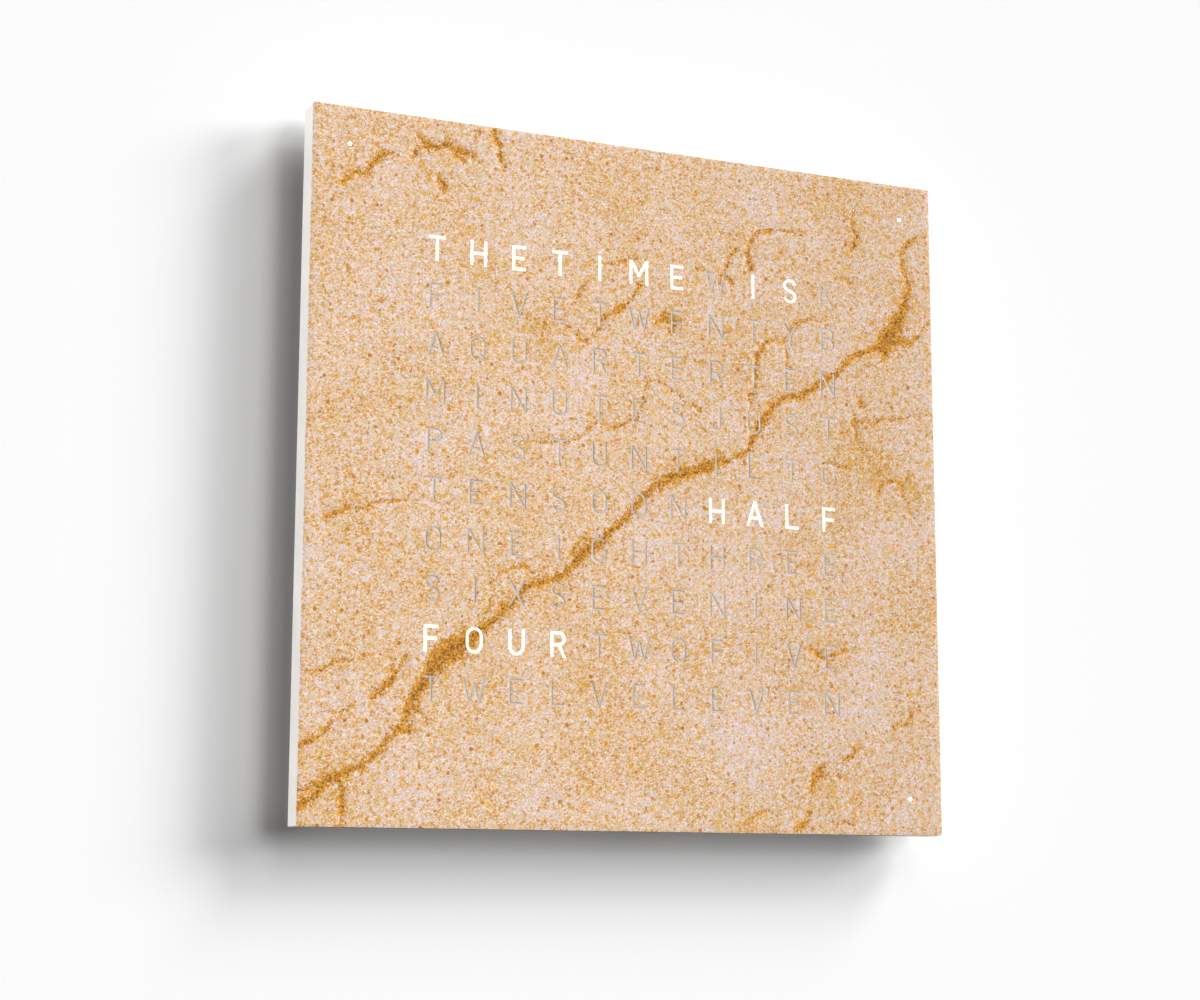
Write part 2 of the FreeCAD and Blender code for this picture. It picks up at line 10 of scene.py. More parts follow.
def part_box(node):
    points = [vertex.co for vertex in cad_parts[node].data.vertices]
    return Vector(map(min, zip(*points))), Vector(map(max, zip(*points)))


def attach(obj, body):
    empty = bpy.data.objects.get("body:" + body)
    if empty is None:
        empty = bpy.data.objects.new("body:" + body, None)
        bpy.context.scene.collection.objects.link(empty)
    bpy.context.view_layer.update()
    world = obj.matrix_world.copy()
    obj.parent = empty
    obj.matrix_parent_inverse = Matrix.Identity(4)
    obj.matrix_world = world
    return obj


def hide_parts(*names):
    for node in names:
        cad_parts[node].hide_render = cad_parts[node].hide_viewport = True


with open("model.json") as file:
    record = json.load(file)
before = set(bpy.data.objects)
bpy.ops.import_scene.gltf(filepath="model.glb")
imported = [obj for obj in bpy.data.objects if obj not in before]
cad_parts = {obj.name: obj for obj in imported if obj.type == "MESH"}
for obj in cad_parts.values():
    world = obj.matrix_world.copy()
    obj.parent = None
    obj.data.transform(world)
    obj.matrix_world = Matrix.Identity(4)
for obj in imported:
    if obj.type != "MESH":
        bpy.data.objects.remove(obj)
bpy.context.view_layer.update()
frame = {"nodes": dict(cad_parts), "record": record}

# The looks of a square wall clock that tells the time in lit words.
# Outlines are worked out in millimetres in the plane of the face: x to the right, z up, y into the wall.

scene = bpy.context.scene
MM = 0.001

# ------- sizes from the frame


def box_mm(node):
    """The lowest and highest corner of a CAD node, in millimetres."""
    low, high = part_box(node)
    return low / MM, high / MM


STONE_LOW, STONE_HIGH = box_mm("stone_veneer")
HALF_FACE = STONE_HIGH.x
Y_FACE = STONE_LOW.y
Y_STONE_BACK = STONE_HIGH.y
Y_PLATE_BACK = box_mm("cover_plate")[1].y

# Letters and dots stand over the middles of their LEDs.
HALF_LED = 2.5
COLUMNS, ROWS = 11, 10
LEDS_HIGH = box_mm("letter_leds")[1]
COLUMN_PITCH = (LEDS_HIGH.x - HALF_LED) * 2 / (COLUMNS - 1)
ROW_PITCH = (LEDS_HIGH.z - HALF_LED) * 2 / (ROWS - 1)
DOT_OFFSET = box_mm("corner_leds")[1].x - HALF_LED
DOT_RADIUS = 1.25

# ------- letters

# A generic English word field. Lit: THE TIME IS HALF FOUR, and three corner dots for three minutes.
WORDS = [
    "THETIMEWISK",
    "FIVETWENTYB",
    "AQUARTERTEN",
    "MINUTESJUST",
    "PASTUNTILTO",
    "TENSOONHALF",
    "ONEIGHTHREE",
    "SIXSEVENINE",
    "FOURTWOFIVE",
    "TWELVELEVEN",
]
LIT_RUNS = {0: [(0, 6), (8, 9)], 5: [(7, 10)], 8: [(0, 3)]}
LIT_DOTS = [(-1, 1), (1, 1), (1, -1)]

# Half the height of a capital, to the middle of its bars; its top edge lies half a stroke higher.
CAP = 7.3
HALF_STROKE = 0.42
TOP = CAP + HALF_STROKE
# A cut edge runs round each cut-out. Round that of a lit letter runs a rim of stone with a painted glow,
# which its cut edge has too.
EDGE_WIDTH = 0.25
EDGE_DEPTH = 0.08
GLOW_WIDTH = 0.36
# A window lies this far behind the stone's highest point, and at least this far under its surface.
WINDOW_DEPTH = 0.30
WINDOW_SUNK = 0.10
# The gap in a letter's ring, where stone holds its middle.
BRIDGE = 1.3
# Straight runs are divided into steps no longer than this, and curves into arcs of about this angle.
LONGEST_STEP = 2.4
ARC_STEP = math.radians(18)


class Stroke:
    """A line of even width along a track; slanted ones end in horizontal cuts."""

    def __init__(self, track, reach=0.0, slanted=False):
        """The track is about the letter's centre; reach carries its ends on."""
        self.track = [Vector(point) for point in track]
        self.reach = reach
        self.slanted = slanted

    def outline(self, centre, extra):
        """The outline about a cell's centre, widened on every side by extra."""
        half = HALF_STROKE + extra
        track = extended(self.track, self.reach + extra, self.slanted)
        left, right = [], []
        for index, point in enumerate(track):
            before = (point - track[index - 1]).normalized() if index else None
            after = (track[index + 1] - point).normalized() if index + 1 < len(track) else None
            if self.slanted:
                along = after or before
                offset = Vector((half / abs(along.y), 0))
                if along.y > 0:
                    offset = -offset
            else:
                along = ((before or after) + (after or before)).normalized()
                offset = Vector((-along.y, along.x)) * half / along.dot(after or before)
            left.append(centre + point + offset)
            right.append(centre + point - offset)
        return right + left[::-1]


def extended(track, reach, slanted):
    """The track with both ends carried on by reach, and its long runs divided."""
    first = (track[0] - track[1]).normalized()
    last = (track[-1] - track[-2]).normalized()
    scale = 1 / abs(first.y) if slanted else 1.0
    points = [track[0] + first * reach * scale] + track[1:-1] + [track[-1] + last * reach * scale]
    divided = [points[0]]
    for start, end in zip(points, points[1:]):
        count = max(1, math.ceil((end - start).length / LONGEST_STEP))
        divided.extend(start.lerp(end, step / count) for step in range(1, count + 1))
    return divided


def bar(*points):
    """A straight or bent stroke whose ends reach past its points by half a stroke."""
    return Stroke(points, reach=HALF_STROKE)


def plain(*points):
    """A stroke that ends at its points."""
    return Stroke(points)


def slant(start, end):
    """A sloping stroke with horizontal ends."""
    return Stroke((start, end), slanted=True)


def arc(x, z, radius_x, radius_z, start, end):
    """Points along an ellipse from start to end, in degrees, counter-clockwise when end is larger."""
    start, end = math.radians(start), math.radians(end)
    count = max(2, round(abs(end - start) / ARC_STEP))
    angles = [start + (end - start) * step / count for step in range(count + 1)]
    return [(x + radius_x * math.cos(angle), z + radius_z * math.sin(angle)) for angle in angles]


def stencil_ring(half_width):
    """An O: two halves with round ends, and a bridge at the top and at the bottom."""
    end_z = CAP - half_width
    gap = math.degrees(BRIDGE / 2 / half_width)
    left = arc(0, end_z, half_width, half_width, 90 + gap, 180)
    left += arc(0, -end_z, half_width, half_width, 180, 270 - gap)
    right = arc(0, -end_z, half_width, half_width, 270 + gap, 360)
    right += arc(0, end_z, half_width, half_width, 0, 90 - gap)
    return [plain(*left), plain(*right)]


def lobe(stem, middle, top, bottom, open_start=False):
    """The bowl of a P, R or B. Its lower bar stops a bridge short of the stem, and so may its upper one."""
    radius = (top - bottom) / 2
    short = stem + HALF_STROKE + BRIDGE
    curve = arc(middle, (top + bottom) / 2, radius, radius, 90, -90)
    return plain((short if open_start else stem, top), *curve, (short, bottom))


def stem(x):
    """An upright stroke of full height."""
    return plain((x, -TOP), (x, TOP))


GLYPHS = {
    "A": [slant((-5.2, -TOP), (0, TOP)), slant((5.2, -TOP), (0, TOP)),
          plain((-3.4, -2.6), (1.4, -2.6))],
    "B": [stem(-4.2), lobe(-4.2, 0.8, CAP, 0.3), lobe(-4.2, 0.9, 0.3, -CAP, open_start=True)],
    "E": [stem(-4.1), bar((-4.1, CAP), (3.3, CAP)), bar((-4.1, 0), (2.4, 0)), bar((-4.1, -CAP), (3.3, -CAP))],
    "F": [stem(-4.2), bar((-4.2, CAP), (3.4, CAP)), bar((-4.2, 0), (2.5, 0))],
    "G": [plain(*arc(0, CAP - 4.5, 4.5, 4.5, 35, 180), *arc(0, 4.5 - CAP, 4.5, 4.5, 180, 360)),
          bar((4.5, 4.5 - CAP), (4.5, -0.4)), bar((1.4, -0.4), (4.5, -0.4))],
    "H": [stem(-4.7), stem(4.7), bar((-4.7, 0), (4.7, 0))],
    "I": [stem(0)],
    "J": [plain((2.9, TOP), (2.9, 3 - CAP)), plain(*arc(0, 3 - CAP, 2.9, 3.0, 0, -180))],
    "K": [stem(-4.6), slant((-4.0, -1.8), (4.2, TOP)), slant((-1.6, 1.4), (4.6, -TOP))],
    "L": [stem(-4.1), bar((-4.1, -CAP), (3.6, -CAP))],
    "M": [stem(-5.8), stem(5.8), slant((-5.3, TOP), (0, -2.2)), slant((5.3, TOP), (0, -2.2))],
    "N": [stem(-5.0), stem(5.0), slant((-4.8, TOP), (4.8, -TOP))],
    "O": stencil_ring(4.6),
    "P": [stem(-4.2), lobe(-4.2, 0.6, CAP, -0.4)],
    "Q": stencil_ring(4.6) + [bar((1.9, -4.0), (5.0, -7.4))],
    "R": [stem(-4.2), lobe(-4.2, 0.6, CAP, -0.2), slant((0.6, -0.2), (4.2, -TOP))],
    "S": [plain(*arc(0, CAP - 3.5, 4.1, 3.5, 20, 270), *arc(0, 3.5 - CAP, 4.1, 3.5, 90, -160)[1:])],
    "T": [bar((-4.5, CAP), (4.5, CAP)), plain((0, CAP), (0, -TOP))],
    "U": [plain((-4.5, TOP), *arc(0, 4.5 - CAP, 4.5, 4.5, 180, 360), (4.5, TOP))],
    "V": [slant((-4.9, TOP), (0, -TOP)), slant((4.9, TOP), (0, -TOP))],
    "W": [slant((-7.0, TOP), (-3.5, -TOP)), slant((-3.5, -TOP), (0, 4.6)),
          slant((0, 4.6), (3.5, -TOP)), slant((3.5, -TOP), (7.0, TOP))],
    "X": [slant((-4.7, -TOP), (4.7, TOP)), slant((-4.7, TOP), (4.7, -TOP))],
    "Y": [slant((-4.5, TOP), (0, -0.4)), slant((4.5, TOP), (0, -0.4)),
          plain((0, 0.4), (0, -TOP))],
}


# ------- relief of the stone

# Each crack is a run of (x, z, half width); a small half width breaks up into separate spots.
CRACKS = [
    [(-226, -214, 2.4), (-215, -207, 2.3), (-206, -197, 2.6), (-195, -193, 2.7), (-185, -188, 2.1),
     (-177, -181, 1.9), (-172, -175, 1.9), (-163, -167, 1.5), (-157, -158, 2.0), (-155, -148, 2.8),
     (-149, -141, 3.8), (-142, -129, 4.4), (-136, -121, 6.2), (-127, -115, 6.6), (-118, -109, 5.4),
     (-110, -103, 2.8), (-100, -95, 2.0), (-92, -87, 1.9), (-86, -82, 2.0), (-80, -74, 2.3),
     (-70, -71, 2.4), (-60, -68, 2.2), (-53, -64, 2.2), (-46, -57, 3.0), (-40, -50, 4.0),
     (-30, -43, 3.2), (-22, -36, 2.7), (-12, -28, 2.5), (-5, -19, 2.3), (2, -10, 2.4), (9, -4, 2.3),
     (20, 3, 3.0), (32, 8, 3.8), (42, 10, 3.0), (50, 14, 3.4), (56, 17, 3.4), (63, 18, 1.6),
     (74, 23, 1.6), (80, 28, 2.0), (85, 38, 2.6), (90, 46, 2.7), (94, 53, 2.4), (100, 61, 2.0),
     (110, 66, 2.0), (120, 68, 2.1), (130, 73, 2.1), (140, 80, 2.0), (150, 87, 1.9), (157, 95, 2.2),
     (165, 101, 2.1), (175, 104, 1.9), (183, 108, 4.0), (189, 113, 7.3), (195, 122, 5.4), (200, 132, 3.5),
     (204, 141, 3.5), (207, 150, 1.7), (206, 158, 1.5), (202, 168, 1.4), (201, 175, 1.3), (206, 184, 1.2),
     (212, 189, 1.1), (226, 192, 1.0)],
    [(186, 110, 4.5), (188, 102, 2.5), (184, 99, 0.8)],
    [(196, 112, 2.6), (207, 113, 1.4), (213, 118, 1.2), (218, 124, 0.8), (225, 131, 0.5)],
    [(-226, -204, 1.2), (-214, -201, 1.2), (-206, -196, 1.6)],
    [(-200, -196, 2.0), (-197, -206, 2.0), (-197, -216, 1.5), (-198, -226, 1.2)],
    [(-226, -178, 1.6), (-215, -172, 1.7), (-208, -168, 1.5), (-203, -162, 0.9), (-198, -155, 0.8),
     (-191, -151, 0.6)],
    [(-213, -157, 0.4), (-200, -157, 0.5)],
    [(-179, -146, 2.0), (-172, -141, 2.3), (-166, -134, 1.6), (-162, -128, 1.0), (-158, -120, 0.8)],
    [(-166, -133, 0.8), (-169, -121, 0.5)],
    [(-222, -132, 0.4), (-212, -131, 0.7), (-205, -127, 0.9), (-195, -125, 0.6), (-183, -122, 0.5)],
    [(-157, -147, 1.8), (-150, -153, 1.6), (-144, -160, 0.8)],
    [(-164, -166, 1.6), (-156, -168, 1.4), (-154, -160, 1.2)],
    [(-110, -101, 1.4), (-106, -92, 0.6), (-101, -80, 0.4)],
    [(-104, -75, 0.5), (-98, -66, 0.6), (-88, -61, 0.8), (-79, -60, 1.0), (-73, -65, 0.8)],
    [(-47, -50, 1.6), (-42, -42, 1.0), (-33, -38, 0.8)],
    [(-211, -38, 1.3), (-200, -33, 1.0), (-188, -31, 0.9), (-180, -26, 0.9), (-170, -25, 0.7),
     (-160, -24, 0.4), (-154, -17, 0.6)],
    [(-206, 174, 1.0), (-200, 182, 1.3), (-190, 183, 1.8), (-186, 190, 1.6), (-180, 196, 2.2),
     (-172, 199, 0.9)],
    [(-159, 199, 1.4), (-155, 204, 1.1), (-148, 208, 2.2), (-143, 206, 1.9), (-137, 209, 2.7),
     (-130, 205, 2.3), (-124, 200, 1.4)],
    [(-158, 214, 1.1), (-151, 209, 1.6)],
    [(-128, 206, 1.8), (-118, 204, 1.6)],
    [(-104, 226, 2.2), (-101, 216, 2.1), (-99, 206, 1.4), (-97, 199, 1.5)],
    [(-141, 187, 1.1), (-138, 180, 2.2)],
    [(-117, 215, 0.7), (-113, 222, 0.8)],
    [(-48, 112, 0.6), (-44, 120, 0.9), (-38, 131, 0.5)],
    [(-51, 98, 0.5), (-45, 94, 1.0), (-42, 90, 0.7), (-36, 90, 0.7), (-30, 97, 0.8), (-27, 104, 1.2),
     (-20, 110, 1.3), (-13, 114, 2.2), (-6, 122, 1.2), (0, 130, 0.9), (5, 134, 0.4)],
    [(-20, 144, 0.7), (-10, 146, 1.2), (-2, 150, 0.9)],
    [(-84, 19, 0.3), (-70, 21, 0.4), (-55, 21, 0.6), (-45, 24, 0.7), (-38, 30, 0.6), (-30, 37, 0.8),
     (-22, 36, 0.6), (-17, 33, 0.9), (-10, 38, 0.8), (-2, 41, 0.6), (3, 54, 0.7), (5, 66, 0.6),
     (12, 68, 0.3)],
    [(18, 66, 0.6), (28, 60, 0.8), (38, 54, 0.9), (46, 50, 0.4)],
    [(12, 108, 1.6), (19, 111, 3.2), (26, 108, 2.0), (21, 101, 1.2)],
    [(60, 139, 1.0), (63, 149, 1.4), (67, 157, 1.2), (73, 167, 0.7)],
    [(62, 146, 1.2), (67, 143, 1.6), (68, 136, 0.8)],
    [(83, 152, 2.0), (81, 160, 1.6), (83, 168, 1.3), (88, 178, 1.4), (96, 180, 0.9), (108, 182, 0.6),
     (121, 180, 0.4)],
    [(165, 205, 0.5), (162, 193, 0.6), (167, 184, 1.2), (165, 178, 2.2), (161, 175, 1.4)],
    [(148, 153, 0.5), (157, 154, 0.6), (165, 148, 0.4)],
    [(83, 50, 0.5), (82, 60, 0.8), (84, 70, 1.0), (86, 82, 1.4), (88, 92, 1.6), (93, 101, 1.2),
     (100, 104, 0.8), (108, 104, 0.6), (114, 113, 0.8), (120, 119, 1.1), (130, 122, 0.9), (138, 121, 0.5)],
    [(140, 119, 0.5), (143, 129, 0.5)],
    [(108, 104, 0.6), (111, 92, 0.6), (110, 84, 0.4)],
    [(152, 44, 0.4), (158, 47, 0.8), (163, 54, 1.2), (170, 54, 0.8), (178, 54, 0.9), (186, 57, 0.8),
     (200, 59, 0.6), (226, 64, 0.4)],
    [(161, 61, 0.5), (163, 54, 1.0), (164, 43, 1.2), (166, 35, 0.6), (173, 27, 0.5)],
    [(167, 69, 0.8), (168, 65, 2.0)],
    [(136, 22, 0.5), (148, 22, 0.6), (157, 21, 0.6)],
    [(174, 35, 0.6), (183, 32, 0.8)],
    [(180, 4, 0.6), (183, 12, 0.8), (190, 15, 0.8), (198, 14, 0.6)],
    [(200, 4, 0.8), (201, 14, 0.7), (204, 19, 1.2)],
    [(204, -6, 0.5), (213, -15, 0.5)],
    [(126, -103, 0.7), (131, -106, 2.0), (137, -110, 1.4)],
    [(140, -108, 0.8), (152, -103, 0.9), (157, -105, 0.3)],
    [(124, -199, 0.8), (127, -191, 2.3), (131, -183, 2.2), (135, -179, 1.0)],
    [(129, -189, 1.0), (140, -187, 0.5), (152, -188, 0.9)],
    [(150, -177, 1.2), (155, -173, 1.1), (162, -168, 1.4)],
    [(114, -223, 1.4), (122, -216, 1.0), (126, -208, 0.6)],
    [(138, -216, 0.7), (156, -219, 0.8)],
    [(76, -218, 0.8), (84, -214, 0.9), (92, -210, 0.4)],
    [(188, -154, 0.7), (198, -151, 0.9), (203, -144, 1.0), (209, -138, 0.5)],
]
# Places where the stone is paler or more orange than round them: x, z, radius and how much.
PATCHES = [
    (-40, 67, 14, 0.9), (170, -135, 17, 1.1), (176, -105, 14, 0.7), (75, -170, 24, 0.9), (60, -65, 24, 0.6),
    (120, 25, 17, 0.7), (-175, 175, 15, 0.5), (15, 27, 14, 0.5), (15, -45, 12, 0.6), (-80, -210, 11, 0.7),
    (135, 180, 9, 0.7), (185, 180, 9, 0.6), (170, 130, 11, 0.7), (195, -210, 9, 0.8), (55, 120, 10, 0.6),
    (-10, -80, 15, 0.6), (-55, -40, 9, 0.6), (-222, -65, 11, 0.9), (-185, 115, 12, 0.4), (-150, 70, 12, 0.3),
    (174, 25, 20, -1.3), (207, 10, 11, -1.1), (206, 145, 13, -0.9), (135, 80, 9, -0.8), (143, -102, 13, -0.9),
    (-75, 10, 10, -1.0), (-195, -35, 16, -0.8), (-65, 100, 12, -0.7), (-105, 80, 10, -0.6),
    (-60, -70, 17, -0.6), (-95, -80, 12, -0.6), (-203, -200, 16, -0.9), (-10, -185, 13, -0.7),
    (135, -195, 11, -0.9), (78, -218, 10, -0.7), (25, 110, 9, -0.7), (80, 170, 9, -0.7),
    (-203, 180, 11, -0.7), (-214, 35, 9, -0.6), (-168, -125, 12, -0.9), (-10, 190, 24, -0.4),
    (-170, -165, 20, -0.4),
]
# How much wider cracks are than their half widths, how far they wind and how fast thin ones fade out.
CRACK_SPREAD = 0.35
CRACK_WANDER = 1.5
WANDER_SIZE = 7.0
CRACK_FADE = 3.6
# The distance between points along a crack.
CRACK_STEP = 1.4
# Distances to a crack are kept within these, inside it and outside it.
DEEPEST_INSIDE = -6.0
FARTHEST = 12.0
# How far the surface lies back: on average, in a crack, and how much by its waves and grains.
MEAN_DEPTH = 0.14
CRACK_DEPTH = 0.42
CRACK_STEEPNESS = 1.6
WAVE_DEPTH = 0.10
WAVE_SIZE = 34.0
GRAIN_DEPTH = 0.05
GRAIN_SIZE = 3.0
LEAST_DEPTH, MOST_DEPTH = 0.01, 0.75
# The face's outer edge is eased back by this much over this width.
RIM_EASE = 0.22
RIM_WIDTH = 1.2
# Noise: how fast smaller features weaken, and how much smaller each octave is.
NOISE_FALL = 0.9
NOISE_STEP = 2.1


def distances_to_tracks(points, tracks, fade=0.0):
    """For each point, the least distance to tracks of (x, z, half width). A fade weakens thin tracks."""
    nearest = np.full(len(points), np.inf)
    for track in tracks:
        for start, end in zip(track, track[1:]):
            start, end = np.asarray(start, float), np.asarray(end, float)
            along = end[:2] - start[:2]
            share = np.clip((points - start[:2]) @ along / (along @ along), 0, 1)
            middle = start[:2] + share[:, None] * along
            half_width = start[2] + share * (end[2] - start[2])
            outside = np.linalg.norm(points - middle, axis=1) - half_width
            if fade:
                outside = np.where(outside > 0, outside * fade / (half_width + 1), outside)
            nearest = np.minimum(nearest, outside)
    return nearest


def noise_at(points, size, octaves, seed):
    """Fractal noise of about -1 to 1 at each point, with features of a size in millimetres."""
    return np.array([noise.fractal((x / size, z / size, seed), NOISE_FALL, NOISE_STEP, octaves)
                     for x, z in points])


def wander_at(points):
    """How far each point is shifted before its distance to a crack is taken, so that cracks wind."""
    shifts = [noise_at(points, WANDER_SIZE, 3, seed) for seed in (3.7, 8.1)]
    return CRACK_WANDER * np.stack(shifts, axis=1)


def crack_middles():
    """Points along the middle of every crack."""
    points = []
    for track in CRACKS:
        for start, end in zip(track, track[1:]):
            start, end = Vector(start[:2]), Vector(end[:2])
            count = math.ceil((end - start).length / CRACK_STEP)
            points += [start.lerp(end, step / count) for step in range(count)]
    points = np.array(points)
    return points - wander_at(points)


def stone_relief(points):
    """For points of the face: how far the surface lies back, and how far outside the nearest crack it is."""
    distance = distances_to_tracks(points + wander_at(points), CRACKS, fade=CRACK_FADE) - CRACK_SPREAD
    groove = 1 / (1 + np.exp(distance * CRACK_STEEPNESS))
    waves = noise_at(points, WAVE_SIZE, 3, 1.3)
    grains = noise_at(points, GRAIN_SIZE, 2, 5.9)
    depth = MEAN_DEPTH + WAVE_DEPTH * waves + GRAIN_DEPTH * grains
    depth += CRACK_DEPTH * groove * (1 + 0.5 * grains)
    rim = HALF_FACE - np.abs(points).max(axis=1)
    depth += RIM_EASE * np.clip(1 - rim / RIM_WIDTH, 0, 1)
    return np.clip(depth, LEAST_DEPTH, MOST_DEPTH), np.clip(distance, DEEPEST_INSIDE, FARTHEST)


def tint_at(points):
    """How much paler (above 0) or more orange (below 0) the stone is at each point."""
    tint = np.zeros(len(points))
    for x, z, radius, strength in PATCHES:
        tint += strength * np.exp(-(((points - (x, z)) / radius) ** 2).sum(axis=1))
    return tint


# ------- tiles of the face

# Points are this far apart, shifted at random by up to this much, and this clear of edges.
GRID = 2.05
JITTER = 0.32
CLEAR = 0.38
SNAP = 0.002
# For Blender's triangulation: to fill inside outlines only, and how close points may lie.
INSIDE_ONLY, LEAST_GAP = 1, 1e-5
MIDDLES = crack_middles()
# The kinds of surface; where outlines overlap, the higher number holds. GLOW is the stone rim round a lit
# letter, which has a painted glow.
STONE, GLOW, EDGE, HOLE = range(4)


def tile_lines(half_field, count):
    """Where tiles meet along one axis: two in each margin, and one for every letter between them."""
    margin = HALF_FACE - half_field
    lines = [-HALF_FACE, -HALF_FACE + margin / 2]
    lines += [-half_field + 2 * half_field * index / count for index in range(count + 1)]
    return lines + [HALF_FACE - margin / 2, HALF_FACE]


X_LINES = tile_lines(COLUMNS * COLUMN_PITCH / 2, COLUMNS)
Z_LINES = tile_lines(ROWS * ROW_PITCH / 2, ROWS)


class Cutout:
    """A letter or a dot: its place, its strokes (none for a dot), and whether it is lit."""

    def __init__(self, centre, strokes, lit):
        self.centre = centre
        self.strokes = strokes
        self.lit = lit

    def outlines(self, extra):
        """The closed outlines of the cut-out, widened on every side by extra."""
        if self.strokes is None:
            radius = DOT_RADIUS + extra
            return [[self.centre + Vector(point) for point in arc(0, 0, radius, radius, 0, 360)[:-1]]]
        return [stroke.outline(self.centre, extra) for stroke in self.strokes]

    def layers(self):
        """The kinds of surface round the cut-out and how far each reaches, from the outside in."""
        glow = [(GLOW, EDGE_WIDTH + GLOW_WIDTH)] if self.lit and self.strokes else []
        return glow + [(EDGE, EDGE_WIDTH), (HOLE, 0.0)]

    def distances(self, points):
        """How far each point lies outside the cut-out."""
        if self.strokes is None:
            return np.linalg.norm(points - np.asarray(self.centre), axis=1) - DOT_RADIUS
        tracks = []
        for stroke in self.strokes:
            track = [self.centre + point for point in extended(stroke.track, stroke.reach, stroke.slanted)]
            tracks.append([(point.x, point.y, HALF_STROKE) for point in track])
        return distances_to_tracks(points, tracks)


def cutout_in_tile(column, row):
    """The letter or dot of a tile, counted from the lower left, or None."""
    letter_column, letter_row = column - 2, ROWS + 1 - row
    if 0 <= letter_column < COLUMNS and 0 <= letter_row < ROWS:
        centre = Vector(((X_LINES[column] + X_LINES[column + 1]) / 2, (Z_LINES[row] + Z_LINES[row + 1]) / 2))
        lit = any(first <= letter_column <= last for first, last in LIT_RUNS.get(letter_row, []))
        return Cutout(centre, GLYPHS[WORDS[letter_row][letter_column]], lit)
    if column in (0, len(X_LINES) - 2) and row in (0, len(Z_LINES) - 2):
        signs = (1 if column else -1, 1 if row else -1)
        return Cutout(Vector(signs) * DOT_OFFSET, None, signs in LIT_DOTS)
    return None


def tile_border(left, right, low, high):
    """The outline of a tile, with points that its neighbours share."""
    across = max(1, round((right - left) / GRID))
    upward = max(1, round((high - low) / GRID))
    corners = [(left, low), (right, low), (right, high), (left, high)]
    points = []
    for (x, z), (end_x, end_z), count in zip(corners, corners[1:] + corners[:1], [across, upward] * 2):
        points += [Vector((x + (end_x - x) * step / count, z + (end_z - z) * step / count))
                   for step in range(count)]
    return points


def tile_filling(left, right, low, high, cutout, draw):
    """Scattered points inside a tile, clear of its border and its cut-out."""
    across = max(2, round((right - left) / GRID))
    upward = max(2, round((high - low) / GRID))
    points = np.array([(left + (right - left) * i / across + draw.uniform(-JITTER, JITTER),
                        low + (high - low) * j / upward + draw.uniform(-JITTER, JITTER))
                       for i in range(1, across) for j in range(1, upward)])
    x, z = MIDDLES.T
    middles = MIDDLES[(x > left + CLEAR) & (x < right - CLEAR) & (z > low + CLEAR) & (z < high - CLEAR)]
    if len(middles):
        gaps = np.linalg.norm(points[:, None] - middles[None], axis=2).min(axis=1)
        points = np.concatenate([points[gaps > 2 * CLEAR], middles])
    if cutout:
        clear = EDGE_WIDTH + (GLOW_WIDTH if cutout.lit else 0) + CLEAR
        points = points[cutout.distances(points) > clear]
    return [Vector(point) for point in points]


def filled(points, outlines):
    """Triangles over points, inside outlines that are lists of point numbers."""
    return geometry.delaunay_2d_cdt(points, [], outlines, INSIDE_ONLY, LEAST_GAP, True)


class Net:
    """Triangles over a common list of places, each with its kind and whether it is at a lit cut-out."""

    places = []
    numbers = {}

    def __init__(self):
        self.triangles = []
        self.kinds = []
        self.lit = []

    @classmethod
    def number(cls, corner):
        """The place's number. Places closer than the snap distance are one."""
        x, z = round(corner.x / SNAP), round(corner.y / SNAP)
        for i in (0, -1, 1):
            for j in (0, -1, 1):
                if (x + i, z + j) in cls.numbers:
                    return cls.numbers[(x + i, z + j)]
        cls.numbers[(x, z)] = len(cls.places)
        cls.places.append((corner.x, corner.y))
        return cls.numbers[(x, z)]

    def add_tile(self, border, cutout, filling):
        """Adds one tile: its border, the cut-out's outlines, and the points between them."""
        outlines, kinds = [border], [STONE]
        for kind, extra in cutout.layers() if cutout else []:
            widened = cutout.outlines(extra)
            outlines += widened
            kinds += [kind] * len(widened)
        points, faces = [], []
        for outline in outlines:
            faces.append(list(range(len(points), len(points) + len(outline))))
            points += outline
        result = filled(points + filling, faces)
        corners, cells, sources = result[0], result[2], result[5]
        numbers = [self.number(corner) for corner in corners]
        for cell, source in zip(cells, sources):
            triangle = [numbers[index] for index in cell]
            if len(set(triangle)) < 3:
                continue
            self.triangles.append(triangle)
            self.kinds.append(max(kinds[index] for index in source))
            self.lit.append(bool(cutout and cutout.lit))

    def of_kinds(self, *kinds):
        """The triangles of some kinds."""
        return [triangle for triangle, kind in zip(self.triangles, self.kinds) if kind in kinds]


fine, coarse = Net(), Net()
draw = random.Random(11)
for column in range(len(X_LINES) - 1):
    for row in range(len(Z_LINES) - 1):
        bounds = X_LINES[column], X_LINES[column + 1], Z_LINES[row], Z_LINES[row + 1]
        cutout = cutout_in_tile(column, row)
        border = tile_border(*bounds)
        fine.add_tile(border, cutout, tile_filling(*bounds, cutout, draw))
        coarse.add_tile(border, cutout, [])

# ------- node materials


def srgb(red, green, blue):
    """A colour written as 0 to 255 for the screen, in the linear values that nodes take."""
    values = []
    for part in (red, green, blue):
        share = part / 255
        values.append(share / 12.92 if share <= 0.04045 else ((share + 0.055) / 1.055) ** 2.4)
    return (*values, 1.0)


def add(tree, kind, inputs=None, **settings):
    """Adds a shader node, with its settings, and links or sets its inputs."""
    node = tree.nodes.new("ShaderNode" + kind)
    for name, value in settings.items():
        setattr(node, name, value)
    for name, value in (inputs or {}).items():
        if isinstance(value, bpy.types.NodeSocket):
            tree.links.new(value, node.inputs[name])
        else:
            node.inputs[name].default_value = value
    return node


def maths(tree, operation, first, second=0.0, third=0.0):
    """The result of a Math node."""
    return add(tree, "Math", {0: first, 1: second, 2: third}, operation=operation).outputs[0]


def mixed(tree, share, first, second, blend="MIX"):
    """The result of mixing two colours."""
    inputs = {0: share, 6: first, 7: second}
    return add(tree, "Mix", inputs, data_type="RGBA", blend_type=blend).outputs[2]


